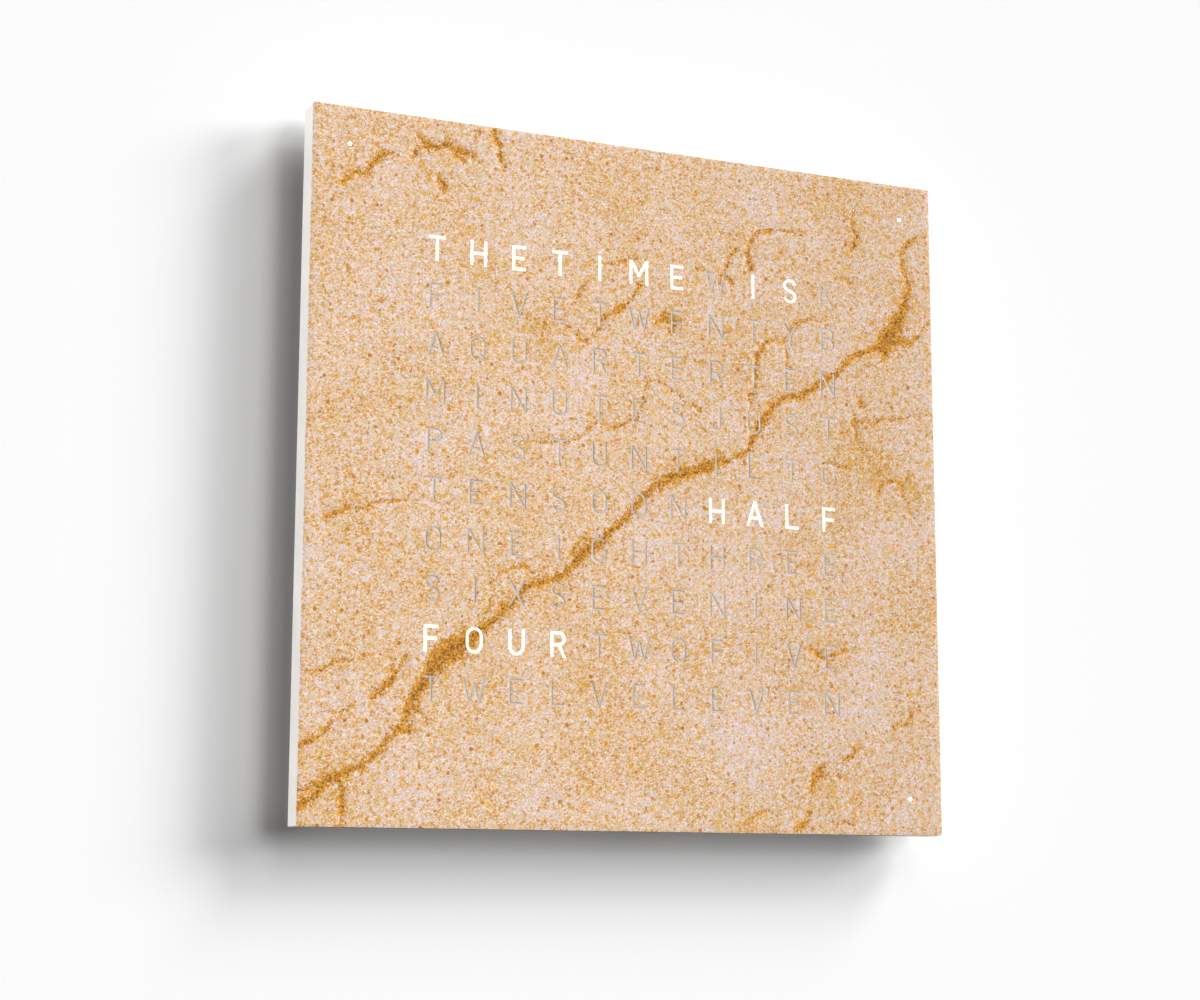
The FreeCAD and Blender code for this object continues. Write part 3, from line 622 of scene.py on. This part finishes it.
def stepped(tree, value, low, high, to_low=0.0, to_high=1.0):
    """A smooth step of a value between two limits."""
    inputs = {"Value": value, "From Min": low, "From Max": high, "To Min": to_low, "To Max": to_high}
    return add(tree, "MapRange", inputs, interpolation_type="SMOOTHSTEP").outputs[0]


def ramp(tree, value, stops):
    """A colour ramp through stops, each a position and a colour of 0 to 255."""
    node = add(tree, "ValToRGB", {0: value})
    elements = node.color_ramp.elements
    while len(elements) < len(stops):
        elements.new(0.5)
    for element, (position, colour) in zip(elements, stops):
        element.position = position
        element.color = srgb(*colour)
    return node.outputs[0]


def noise_of(tree, where, scale, detail=2.0, roughness=0.5):
    """A noise texture's node, with a scale in features per metre."""
    inputs = {"Vector": where, "Scale": scale, "Detail": detail, "Roughness": roughness}
    return add(tree, "TexNoise", inputs)


def new_material(name):
    """A material with empty nodes: the material, its tree and the object's own coordinates."""
    material = bpy.data.materials.new(name)
    material.use_nodes = True
    tree = material.node_tree
    tree.nodes.clear()
    return material, tree, add(tree, "TexCoord").outputs["Object"]


def finish_material(tree, inputs, height, depth, strength):
    """Adds the Principled shader, with bump of a height, its depth in metres and its strength."""
    bump = add(tree, "Bump", {"Height": height, "Distance": depth, "Strength": strength})
    shader = add(tree, "BsdfPrincipled", {**inputs, "Normal": bump.outputs[0]})
    add(tree, "OutputMaterial", {"Surface": shader.outputs[0]})


def with_spots(tree, where, scale, radius, rarity, strength, colour, dark, light):
    """Adds scattered grains of two colours; the radius is a share of the distance between them."""
    spots = add(tree, "TexVoronoi", {"Vector": where, "Scale": scale}, voronoi_dimensions="2D")
    chosen = add(tree, "SeparateColor", {0: spots.outputs["Color"]})
    near = stepped(tree, spots.outputs["Distance"], radius, radius * 0.7)
    drawn = stepped(tree, maths(tree, "SUBTRACT", chosen.outputs[0], rarity), 0.0, 0.03)
    share = maths(tree, "MULTIPLY", near, drawn)
    spot_colour = mixed(tree, chosen.outputs[1], srgb(*dark), srgb(*light))
    return mixed(tree, maths(tree, "MULTIPLY", share, strength), colour, spot_colour)


# How far the pattern of grains is bent out of its places, in metres.
BEND = 0.0016
# Scattered grains, from small to large: how many per metre, radius, rarity, strength, and two colours.
# The first kind has no rarity of its own: it follows the patches in which such grains crowd.
SPOTS = [
    (470.0, 0.32, None, 0.72, (204, 128, 46), (240, 176, 66)),
    (190.0, 0.20, 0.70, 0.90, (196, 120, 38), (240, 172, 48)),
    (62.0, 0.09, 0.50, 0.95, (190, 112, 30), (248, 186, 36)),
]
# The ground of the stone from its orange to its palest tone, and the cracks from dark to light.
GROUND = [(0.02, (212, 152, 66)), (0.18, (229, 178, 102)), (0.36, (238, 197, 138)),
          (0.52, (239, 205, 164)), (0.68, (236, 209, 188)), (0.92, (240, 222, 226))]
CRACK_TONES = [(0.05, (108, 66, 12)), (0.28, (148, 94, 22)), (0.52, (194, 127, 34)), (0.80, (232, 166, 58))]


def stone_material(name, glow=False):
    """Coarse sandstone with orange-brown cracks, painted darker towards the right as a painted light falloff;
    or, with glow, its rim round a lit letter, which has a painted glow.

    Scales are features per metre. The other bare numbers are weights and limits.
    """
    material, tree, where = new_material(name)
    apart = add(tree, "SeparateXYZ", {0: where})
    where = add(tree, "CombineXYZ", {0: apart.outputs["X"], 1: apart.outputs["Z"]}).outputs[0]
    bend = noise_of(tree, where, 620.0, 1.0)
    shift = add(tree, "VectorMath", {0: bend.outputs["Color"], 1: (0.5, 0.5, 0.5)}, operation="SUBTRACT")
    bent = add(tree, "VectorMath", {0: shift.outputs[0], 1: (BEND, BEND, BEND), 2: where},
               operation="MULTIPLY_ADD").outputs[0]
    cells = add(tree, "TexVoronoi", {"Vector": bent, "Scale": 1150.0}, voronoi_dimensions="2D")
    lots = add(tree, "SeparateColor", {0: cells.outputs["Color"]})
    small = noise_of(tree, where, 1500.0, 2.0, 0.6).outputs[0]
    middle = noise_of(tree, where, 220.0, 3.0, 0.6).outputs[0]
    broad = noise_of(tree, where, 16.0, 3.0).outputs[0]
    tint = add(tree, "Attribute", attribute_name="tint").outputs["Fac"]

    value = maths(tree, "MULTIPLY", lots.outputs[0], 0.62)
    for part, weight in ((small, 0.40), (middle, 0.88), (broad, 0.42), (tint, 0.12)):
        value = maths(tree, "MULTIPLY_ADD", part, weight, value)
    value = maths(tree, "MULTIPLY_ADD", value, 1.55, -1.265)
    colour = ramp(tree, value, GROUND)
    tone_and_painted_falloff = maths(tree, "MULTIPLY_ADD", lots.outputs[2], 0.34, 0.83)
    # Painted light falloff: the stone is painted up to 8% darker towards the right.
    tone_and_painted_falloff = maths(tree, "MULTIPLY", tone_and_painted_falloff, stepped(tree, apart.outputs["X"], -0.10, 0.22, 1.0, 0.92))
    grey = add(tree, "CombineColor", {0: tone_and_painted_falloff, 1: tone_and_painted_falloff, 2: tone_and_painted_falloff}).outputs[0]
    colour = mixed(tree, 1.0, colour, grey, "MULTIPLY")

    patches = noise_of(tree, where, 75.0, 3.0, 0.55).outputs[0]
    crowded = stepped(tree, patches, 0.38, 0.66, 0.94, 0.62)
    crowded = maths(tree, "MULTIPLY_ADD", tint, 0.05, crowded)
    for scale, radius, rarity, strength, dark, light in SPOTS:
        rarity = crowded if rarity is None else rarity
        colour = with_spots(tree, bent, scale, radius, rarity, strength, colour, dark, light)

    vein = add(tree, "Attribute", attribute_name="vein").outputs["Fac"]
    depth_noise = noise_of(tree, where, 520.0, 2.0, 0.6).outputs[0]
    ragged = maths(tree, "MULTIPLY_ADD", maths(tree, "SUBTRACT", middle, 0.5), 6.0, vein)
    ragged = maths(tree, "MULTIPLY_ADD", maths(tree, "SUBTRACT", depth_noise, 0.5), 5.0, ragged)
    likely = maths(tree, "ADD", stepped(tree, ragged, 2.3, -2.2, 0.0, 0.86),
                   stepped(tree, ragged, 6.5, 1.0, 0.0, 0.14))
    struck = stepped(tree, maths(tree, "SUBTRACT", likely, lots.outputs[1]), -0.10, 0.10)
    struck = maths(tree, "MAXIMUM", struck, stepped(tree, ragged, -0.4, -1.3))
    tone = maths(tree, "MULTIPLY_ADD", lots.outputs[2], 0.62, maths(tree, "MULTIPLY", depth_noise, 1.2))
    tone = maths(tree, "SUBTRACT", tone, stepped(tree, ragged, 1.0, -4.5, 0.16, 0.46))
    colour = mixed(tree, maths(tree, "MULTIPLY", struck, 0.96), colour, ramp(tree, tone, CRACK_TONES))

    height = maths(tree, "MULTIPLY_ADD", cells.outputs["Distance"], -0.6, small)
    inputs = {"Base Color": colour, "Roughness": stepped(tree, small, 0.2, 0.8, 0.82, 0.95),
              "Specular IOR Level": 0.25}
    # Painted glow: the stone and cut edge round a lit letter give off near-white light of their own.
    if glow:
        inputs["Emission Color"] = mixed(tree, 0.08, srgb(255, 255, 255), colour)
        inputs["Emission Strength"] = 0.8
    finish_material(tree, inputs, height, 0.00035, 0.55)
    return material


def window_material(name, lit):
    """The opal diffuser seen through a cut-out, dark or lit from behind."""
    material, tree, where = new_material(name)
    cloud = noise_of(tree, where, 240.0).outputs[0]
    if lit:
        colour = mixed(tree, cloud, srgb(244, 244, 242), srgb(255, 255, 255))
        inputs = {"Base Color": colour, "Roughness": 0.5, "Emission Strength": 1.0,
                  "Emission Color": mixed(tree, cloud, srgb(252, 252, 250), srgb(255, 255, 255))}
    else:
        colour = mixed(tree, cloud, srgb(188, 180, 173), srgb(201, 194, 188))
        inputs = {"Base Color": colour, "Roughness": 0.45}
    finish_material(tree, inputs, noise_of(tree, where, 1500.0).outputs[0], 0.00005, 0.4)
    return material


def plain_material(name, dark, light, scale, roughness, metallic, grain, bump, stretch=None, **sockets):
    """A made surface: two close tones in a cloud pattern, with uneven gloss and a fine grain."""
    material, tree, where = new_material(name)
    if stretch:
        where = add(tree, "VectorMath", {0: where, 1: stretch}, operation="MULTIPLY").outputs[0]
    cloud = noise_of(tree, where, scale, 4.0, 0.6).outputs[0]
    fine_grain = noise_of(tree, where, grain).outputs[0]
    inputs = {"Base Color": mixed(tree, cloud, srgb(*dark), srgb(*light)), "Metallic": metallic,
              "Roughness": stepped(tree, cloud, 0.25, 0.75, roughness - 0.06, roughness + 0.06)}
    inputs.update(sockets)
    finish_material(tree, inputs, fine_grain, 0.00004, bump)
    return material


def board_material(name):
    """Green solder mask with paler copper traces under it."""
    material, tree, where = new_material(name)
    flat = add(tree, "VectorMath", {0: where, 1: (1.0, 0.0, 1.0)}, operation="MULTIPLY").outputs[0]
    turned = add(tree, "Mapping", {"Vector": flat, "Rotation": (math.pi / 2, 0.0, 0.0)}).outputs[0]
    traces = add(tree, "TexBrick", {
        "Vector": turned, "Scale": 60.0, "Mortar Size": 0.012, "Mortar Smooth": 0.2, "Bias": 0.0,
        "Brick Width": 0.9, "Row Height": 0.22}).outputs["Fac"]
    cloud = noise_of(tree, where, 90.0, 3.0).outputs[0]
    mask = mixed(tree, cloud, srgb(18, 84, 52), srgb(26, 100, 62))
    colour = mixed(tree, traces, mask, srgb(52, 138, 84))
    finish_material(tree, {"Base Color": colour, "Roughness": 0.38, "Coat Weight": 0.3}, traces, 0.00003, 0.6)
    return material


def winding_material(name):
    """Enamelled copper wire, turn beside turn round the rod."""
    material, tree, where = new_material(name)
    turns = add(tree, "TexWave", {"Vector": where, "Scale": 480.0, "Distortion": 0.4, "Detail": 1.0},
                bands_direction="X").outputs["Fac"]
    colour = mixed(tree, turns, srgb(140, 74, 38), srgb(214, 138, 92))
    finish_material(tree, {"Base Color": colour, "Metallic": 1.0, "Roughness": 0.32}, turns, 0.0002, 0.8)
    return material


# The record's slots: two tones, scale of their clouds, roughness, metallic, scale of the grain, its bump.
FINISHES = {
    "cream_lacquer": ((225, 220, 215), (234, 229, 225), 30, 0.42, 0, 900, 0.12),
    "coated_sheet": ((199, 197, 193), (207, 205, 201), 40, 0.46, 0.75, 1600, 0.3),
    "zinc_steel": ((190, 192, 196), (222, 222, 216), 260, 0.34, 1, 2400, 0.15),
    "magnet_nickel": ((206, 204, 200), (224, 222, 218), 180, 0.2, 1, 2000, 0.08),
    "led_white": ((240, 236, 214), (248, 246, 232), 700, 0.24, 0, 2000, 0.1),
    "baffle_white": ((226, 226, 222), (238, 238, 235), 60, 0.62, 0, 1400, 0.3),
    "black_plastic": ((26, 26, 28), (38, 38, 41), 120, 0.44, 0, 1800, 0.35),
    "nylon": ((226, 223, 212), (236, 234, 226), 200, 0.4, 0, 1500, 0.15),
    "cell_steel": ((202, 202, 204), (220, 220, 222), 90, 0.28, 1, 900, 0.2),
    "ferrite": ((52, 52, 55), (74, 73, 74), 320, 0.68, 0, 1300, 0.5),
    "brass_contact": ((206, 172, 96), (228, 198, 126), 240, 0.24, 1, 2200, 0.1),
    "lead_jacket": ((30, 30, 32), (44, 44, 47), 160, 0.5, 0, 1700, 0.25),
    "button_plastic": ((222, 216, 210), (231, 226, 221), 90, 0.4, 0, 1500, 0.2),
    "clear_pipe": ((240, 243, 243), (250, 252, 252), 120, 0.12, 0, 900, 0.05),
    "sensor_black": ((18, 18, 22), (30, 30, 36), 300, 0.16, 0, 1500, 0.1),
    "cover_steel": ((214, 207, 198), (226, 220, 212), 50, 0.5, 0, 1300, 0.2),
    "opal_diffuser": ((232, 232, 228), (242, 242, 239), 70, 0.46, 0, 1500, 0.12),
}
# What single slots have besides: marks of turning round the cell, and clear acrylic for the pipe.
EXTRAS = {
    "cell_steel": {"stretch": (1.0, 1.0, 14.0)},
    "clear_pipe": {"Transmission Weight": 0.9, "IOR": 1.49},
}
MATERIALS = {slot: plain_material(slot, *finish, **EXTRAS.get(slot, {})) for slot, finish in FINISHES.items()}
MATERIALS["circuit_board"] = board_material("circuit_board")
MATERIALS["copper_winding"] = winding_material("copper_winding")

# Every CAD node takes its slot's finish; the stone, which a piece below replaces, has no plain one.
for subpart in frame["record"]["subparts"]:
    node, slot = subpart["node"], subpart["material_slot"]
    if slot in MATERIALS:
        for material_slot in frame["nodes"][node].material_slots:
            material_slot.material = MATERIALS[slot]

# ------- meshes

# Faces that meet at more than this angle have a sharp edge.
SHARP = math.radians(35)


def placed(name, data):
    """An object of the scene that holds a mesh, a lamp or a camera."""
    thing = bpy.data.objects.new(name, data)
    scene.collection.objects.link(thing)
    return thing


def new_piece(name, points, faces, body, materials, face_slots=None):
    """A mesh object from points in millimetres, which rides on a body and takes the given materials."""
    mesh = bpy.data.meshes.new(name)
    mesh.from_pydata([Vector(point) * MM for point in points], [], faces)
    for material in materials:
        mesh.materials.append(material)
    if face_slots is not None:
        mesh.polygons.foreach_set("material_index", face_slots)
    mesh.polygons.foreach_set("use_smooth", [True] * len(faces))
    mesh.set_sharp_from_angle(angle=SHARP)
    mesh.update()
    piece = placed(name, mesh)
    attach(piece, body)
    return piece


def boundary_edges(triangles):
    """The directed edges that only one triangle has, each with that triangle's place in the list."""
    edges = {}
    for order, triangle in enumerate(triangles):
        for start, end in zip(triangle, triangle[1:] + triangle[:1]):
            if (end, start) in edges:
                del edges[(end, start)]
            else:
                edges[(start, end)] = order
    return edges


def closed_plate(front, back, y_front, y_back):
    """A plate between two nets with the same edges.

    Gives its points and faces, which front triangle each wall is at, and each point's place number.
    """
    front_places = sorted({number for triangle in front for number in triangle})
    back_places = sorted({number for triangle in back for number in triangle})
    at_front = {number: order for order, number in enumerate(front_places)}
    at_back = {number: order for order, number in enumerate(back_places, len(at_front))}
    points = [(Net.places[n][0], y_front[n], Net.places[n][1]) for n in at_front]
    points += [(Net.places[n][0], y_back, Net.places[n][1]) for n in at_back]
    faces = [[at_front[n] for n in face] for face in front]
    faces += [[at_back[n] for n in face[::-1]] for face in back]
    edges = boundary_edges(front)
    faces += [[at_front[end], at_front[start], at_back[start], at_back[end]] for start, end in edges]
    return points, faces, list(edges.values()), front_places + back_places


places = np.array(Net.places)
relief, vein = stone_relief(places)
at_stone = {number for triangle in fine.of_kinds(STONE, GLOW) for number in triangle}
at_hole = {number for triangle in fine.of_kinds(HOLE) for number in triangle}
# Nothing is cut deeper than this into the stone, which is 1 mm thick.
DEEPEST = 0.85
stone_y = []
for number, depth in enumerate(relief):
    edge_depth = EDGE_DEPTH if number in at_hole else 0.0 if number in at_stone else EDGE_DEPTH / 2
    stone_y.append(Y_FACE + min(depth + edge_depth, DEEPEST))

stone = stone_material("sandstone")
# The stone and cut edges round lit letters, with a painted glow.
painted_glow_stone = stone_material("sandstone_painted_glow", glow=True)
cut_edge = plain_material("cut_edge", (160, 149, 140), (178, 168, 158), 400.0, 0.5, 0.0, 1200.0, 0.3)
front = fine.of_kinds(STONE, GLOW, EDGE)
back = coarse.of_kinds(STONE, GLOW, EDGE)
points, faces, beside, numbers = closed_plate(front, back, stone_y, Y_STONE_BACK)
# Places in the list of materials: the stone, the rim and cut edge of a lit letter with their painted glow,
# and any other edge.
front_slots = [0 if kind == STONE else 1 if lit else 2
               for kind, lit in zip(fine.kinds, fine.lit) if kind != HOLE]
face_slots = front_slots + [0] * len(back) + [front_slots[order] for order in beside]
stone_face = new_piece("stone_face", points, faces, "cover", [stone, painted_glow_stone, cut_edge],
                       face_slots)
for name, values in (("vein", vein), ("tint", tint_at(places))):
    attribute = stone_face.data.attributes.new(name, "FLOAT", "POINT")
    attribute.data.foreach_set("value", [values[number] for number in numbers])
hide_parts("stone_veneer")

flat_front = [Y_STONE_BACK] * len(places)
points, faces = closed_plate(back, back, flat_front, Y_PLATE_BACK)[:2]
mask_plate = new_piece("mask_plate", points, faces, "cover", [MATERIALS["cover_steel"]])
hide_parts("cover_plate")

window_front = [Y_FACE + max(WINDOW_DEPTH, depth + WINDOW_SUNK) for depth in relief]
for name, lit in (("letter_windows_unlit", False), ("letter_windows_lit", True)):
    chosen = [triangle for triangle, kind, shining in zip(coarse.triangles, coarse.kinds, coarse.lit)
              if kind == HOLE and shining == lit]
    points, faces = closed_plate(chosen, chosen, window_front, Y_PLATE_BACK)[:2]
    new_piece(name, points, faces, "cover", [window_material(name, lit)])

# ------- screws of the rear panel

SCREWS_LOW, SCREWS_HIGH = box_mm("rear_panel_screws")
Y_SEAT = box_mm("rear_panel")[1].y
HEAD_RADIUS = 2.8
SHANK_RADIUS = 1.5
THREAD_DEPTH = 0.22
THREAD_PITCH = 0.5
# The shank's end is narrower than the shank by this share.
END_SHARE = 0.7
SCREW_SIDES = 28
# Rings of the domed head, as (share of its radius, share of its height).
HEAD_TOP = [(0.94, 0.74), (0.83, 0.88), (0.66, 0.96)]
HEAD_SIDE = [(0.94, 0.74), (1.0, 0.50), (1.0, 0.10), (0.97, 0.0)]
# The cross recess at the surface and at its floor: how far its arms reach, their half width, its depth.
RECESS = [(1.50, 0.36, 0.0), (1.15, 0.20, 0.75)]


def ring(radius):
    """Points of a circle, counter-clockwise."""
    turns = [math.tau * side / SCREW_SIDES for side in range(SCREW_SIDES)]
    return [Vector((math.cos(turn), math.sin(turn))) * radius for turn in turns]


def cross(reach, half):
    """The outline of a cross, counter-clockwise."""
    outline, arm = [], [(reach, -half), (reach, half), (half, half)]
    for _ in range(4):
        outline += [Vector(point) for point in arm]
        arm = [(-v, u) for u, v in arm]
    return outline


def screw_shape():
    """Points and faces of one pan-head screw on the origin, its head towards the wall."""
    head_height = SCREWS_HIGH.y - Y_SEAT
    outlines = [(ring(HEAD_RADIUS * share), Y_SEAT + head_height * up) for share, up in HEAD_TOP]
    outlines += [(cross(reach, half), SCREWS_HIGH.y - deep) for reach, half, deep in RECESS]
    flat, heights, loops = [], [], []
    for outline, height in outlines:
        loops.append(list(range(len(flat), len(flat) + len(outline))))
        flat += outline
        heights += [height] * len(outline)
    corners, _, cells, origins = filled(flat, loops)[:4]
    points = [(corner.x, heights[origin[0]], corner.y) for corner, origin in zip(corners, origins)]
    faces = [list(cell[::-1]) for cell in cells]
    profile = [(HEAD_RADIUS * share, Y_SEAT + head_height * up) for share, up in HEAD_SIDE]
    count = math.floor((Y_SEAT - SCREWS_LOW.y) / THREAD_PITCH)
    step = (Y_SEAT - SCREWS_LOW.y) / count
    for turn in range(count):
        crest, root = Y_SEAT - turn * step, Y_SEAT - (turn + 0.5) * step
        profile += [(SHANK_RADIUS, crest), (SHANK_RADIUS - THREAD_DEPTH, root)]
    profile.append((SHANK_RADIUS * END_SHARE, SCREWS_LOW.y))
    start = len(points)
    for radius, height in profile:
        points += [(point.x, height, point.y) for point in ring(radius)]
    for level in range(len(profile) - 1):
        for side in range(SCREW_SIDES):
            after = (side + 1) % SCREW_SIDES
            near, far = start + level * SCREW_SIDES, start + (level + 1) * SCREW_SIDES
            faces.append([near + side, near + after, far + after, far + side])
    faces.append(list(range(start + (len(profile) - 1) * SCREW_SIDES, start + len(profile) * SCREW_SIDES)))
    same = {origin[0]: index for index, origin in enumerate(origins)}
    joined = {start + side: same[side] for side in range(SCREW_SIDES)}
    faces = [[joined.get(index, index) for index in face] for face in faces]
    used = sorted({index for face in faces for index in face})
    renumbered = {index: order for order, index in enumerate(used)}
    return [points[index] for index in used], [[renumbered[index] for index in face] for face in faces]


shape_points, shape_faces = screw_shape()
points, faces = [], []
offset = SCREWS_HIGH.x - HEAD_RADIUS
for x, z in ((-offset, -offset), (offset, -offset), (-offset, offset), (offset, offset)):
    faces += [[index + len(points) for index in face] for face in shape_faces]
    points += [(x + point[0], point[1], z + point[2]) for point in shape_points]
panel_screws = new_piece("panel_screws", points, faces, "case", [MATERIALS["zinc_steel"]])
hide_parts("rear_panel_screws")

# ------- stage, camera and lights


def quad(name, corners, colour):
    """A flat piece of backdrop or floor, in backdrop paint."""
    mesh = bpy.data.meshes.new(name)
    mesh.from_pydata(corners, [], [list(range(4))])
    mesh.materials.append(backdrop_material(name, colour))
    piece = placed(name, mesh)


def seen_ray(tree):
    """1 for camera, mirror and see-through rays that haven't met a matt surface, else 0."""
    path = add(tree, "LightPath").outputs
    rays = maths(tree, "ADD", path["Is Glossy Ray"], path["Is Transmission Ray"])
    rays = maths(tree, "MINIMUM", maths(tree, "ADD", rays, path["Is Camera Ray"]), 1.0)
    return maths(tree, "MULTIPLY", rays, maths(tree, "LESS_THAN", path["Diffuse Depth"], 0.5))


# The wall stands this far behind the rear rim, in metres, as the width of the photographed shadow asks.
WALL_GAP = 0.016
# How far the stage reaches to the sides and up, and the height of its floor, in metres.
REACH = 2.6
FLOOR_Z = -0.9
WHITE = (1.0, 1.0, 1.0, 1.0)
# What the backdrop gives off by itself, and what the room gives to the object.
BACKDROP_LIFT = 0.01
ROOM_LIGHT = 0.05


def backdrop_material(name, colour):
    """Paint that the camera, mirrors and glass see from its front; it isn't there for any other light."""
    material, tree, where = new_material(name)
    cloud = noise_of(tree, where, 3.0, 3.0).outputs[0]
    paint = add(tree, "BsdfDiffuse", {"Color": mixed(tree, cloud, colour, WHITE)})
    glow = add(tree, "Emission", {"Strength": BACKDROP_LIFT})
    surface = add(tree, "AddShader", {0: paint.outputs[0], 1: glow.outputs[0]})
    facing = maths(tree, "SUBTRACT", 1.0, add(tree, "NewGeometry").outputs["Backfacing"])
    shown = maths(tree, "MULTIPLY", seen_ray(tree), facing)
    gone = add(tree, "BsdfTransparent")
    mix = add(tree, "MixShader", {0: shown, 1: gone.outputs[0], 2: surface.outputs[0]})
    add(tree, "OutputMaterial", {"Surface": mix.outputs[0]})
    return material


quad("backdrop_wall", [(-REACH, WALL_GAP, FLOOR_Z), (REACH, WALL_GAP, FLOOR_Z),
                       (REACH, WALL_GAP, REACH), (-REACH, WALL_GAP, REACH)], srgb(254, 254, 254))
quad("floor", [(-REACH, -REACH, FLOOR_Z), (REACH, -REACH, FLOOR_Z),
               (REACH, REACH, FLOOR_Z), (-REACH, REACH, FLOOR_Z)], srgb(246, 246, 245))

world = bpy.data.worlds.new("studio")
scene.world = world
world.use_nodes = True
tree = world.node_tree
tree.nodes.clear()
world.cycles.sampling_method = "NONE"
dim = add(tree, "Background", {"Color": WHITE, "Strength": ROOM_LIGHT})
white = add(tree, "Background", {"Color": WHITE, "Strength": 1.0})
mix = add(tree, "MixShader", {0: seen_ray(tree), 1: dim.outputs[0], 2: white.outputs[0]})
add(tree, "OutputWorld", {"Surface": mix.outputs[0]})


def sun(name, direction, energy, width):
    """A distant lamp that shines from a direction, with a soft edge of a width in degrees."""
    lamp = bpy.data.lights.new(name, "SUN")
    lamp.energy = energy
    lamp.angle = math.radians(width)
    placed(name, lamp).rotation_euler = Vector(direction).to_track_quat("Z", "Y").to_euler()


def off_wall(turn, lift):
    """A lamp's direction: turned up from the right in the wall's plane and lifted off it, in degrees."""
    turn, lift = math.radians(turn), math.radians(lift)
    return math.cos(turn) * math.cos(lift), -math.sin(lift), math.sin(turn) * math.cos(lift)


sun("key_low", off_wall(20.0, 24.0), 2.18, 22.0)
sun("key_high", off_wall(50.0, 24.0), 1.95, 22.0)
sun("fill", off_wall(25.0, 62.0), 1.06, 26.0)
sun("top", off_wall(80.0, 50.0), 0.33, 26.0)
sun("side", (-0.96, 0.24, 0.1), 3.25, 12.0)
sun("back", (0.0, 0.95, 0.3), 0.75, 20.0)

# The camera's place and what it looks at, in metres, and its roll in radians.
CAMERA_PLACE = Vector((-0.6348, -1.3674, -0.2658))
CAMERA_AIM = Vector((-0.0278, -0.018, -0.0142))
CAMERA_ROLL = 0.0025
camera = bpy.data.cameras.new("camera")
camera.lens = 70.0
camera.sensor_width = 36.0
camera_object = placed("camera", camera)
camera_object.location = CAMERA_PLACE
upright = (CAMERA_AIM - CAMERA_PLACE).to_track_quat("-Z", "Y")
camera_object.rotation_euler = (upright @ Quaternion((0, 0, 1), CAMERA_ROLL)).to_euler()
scene.camera = camera_object
scene.view_settings.view_transform = "Standard"
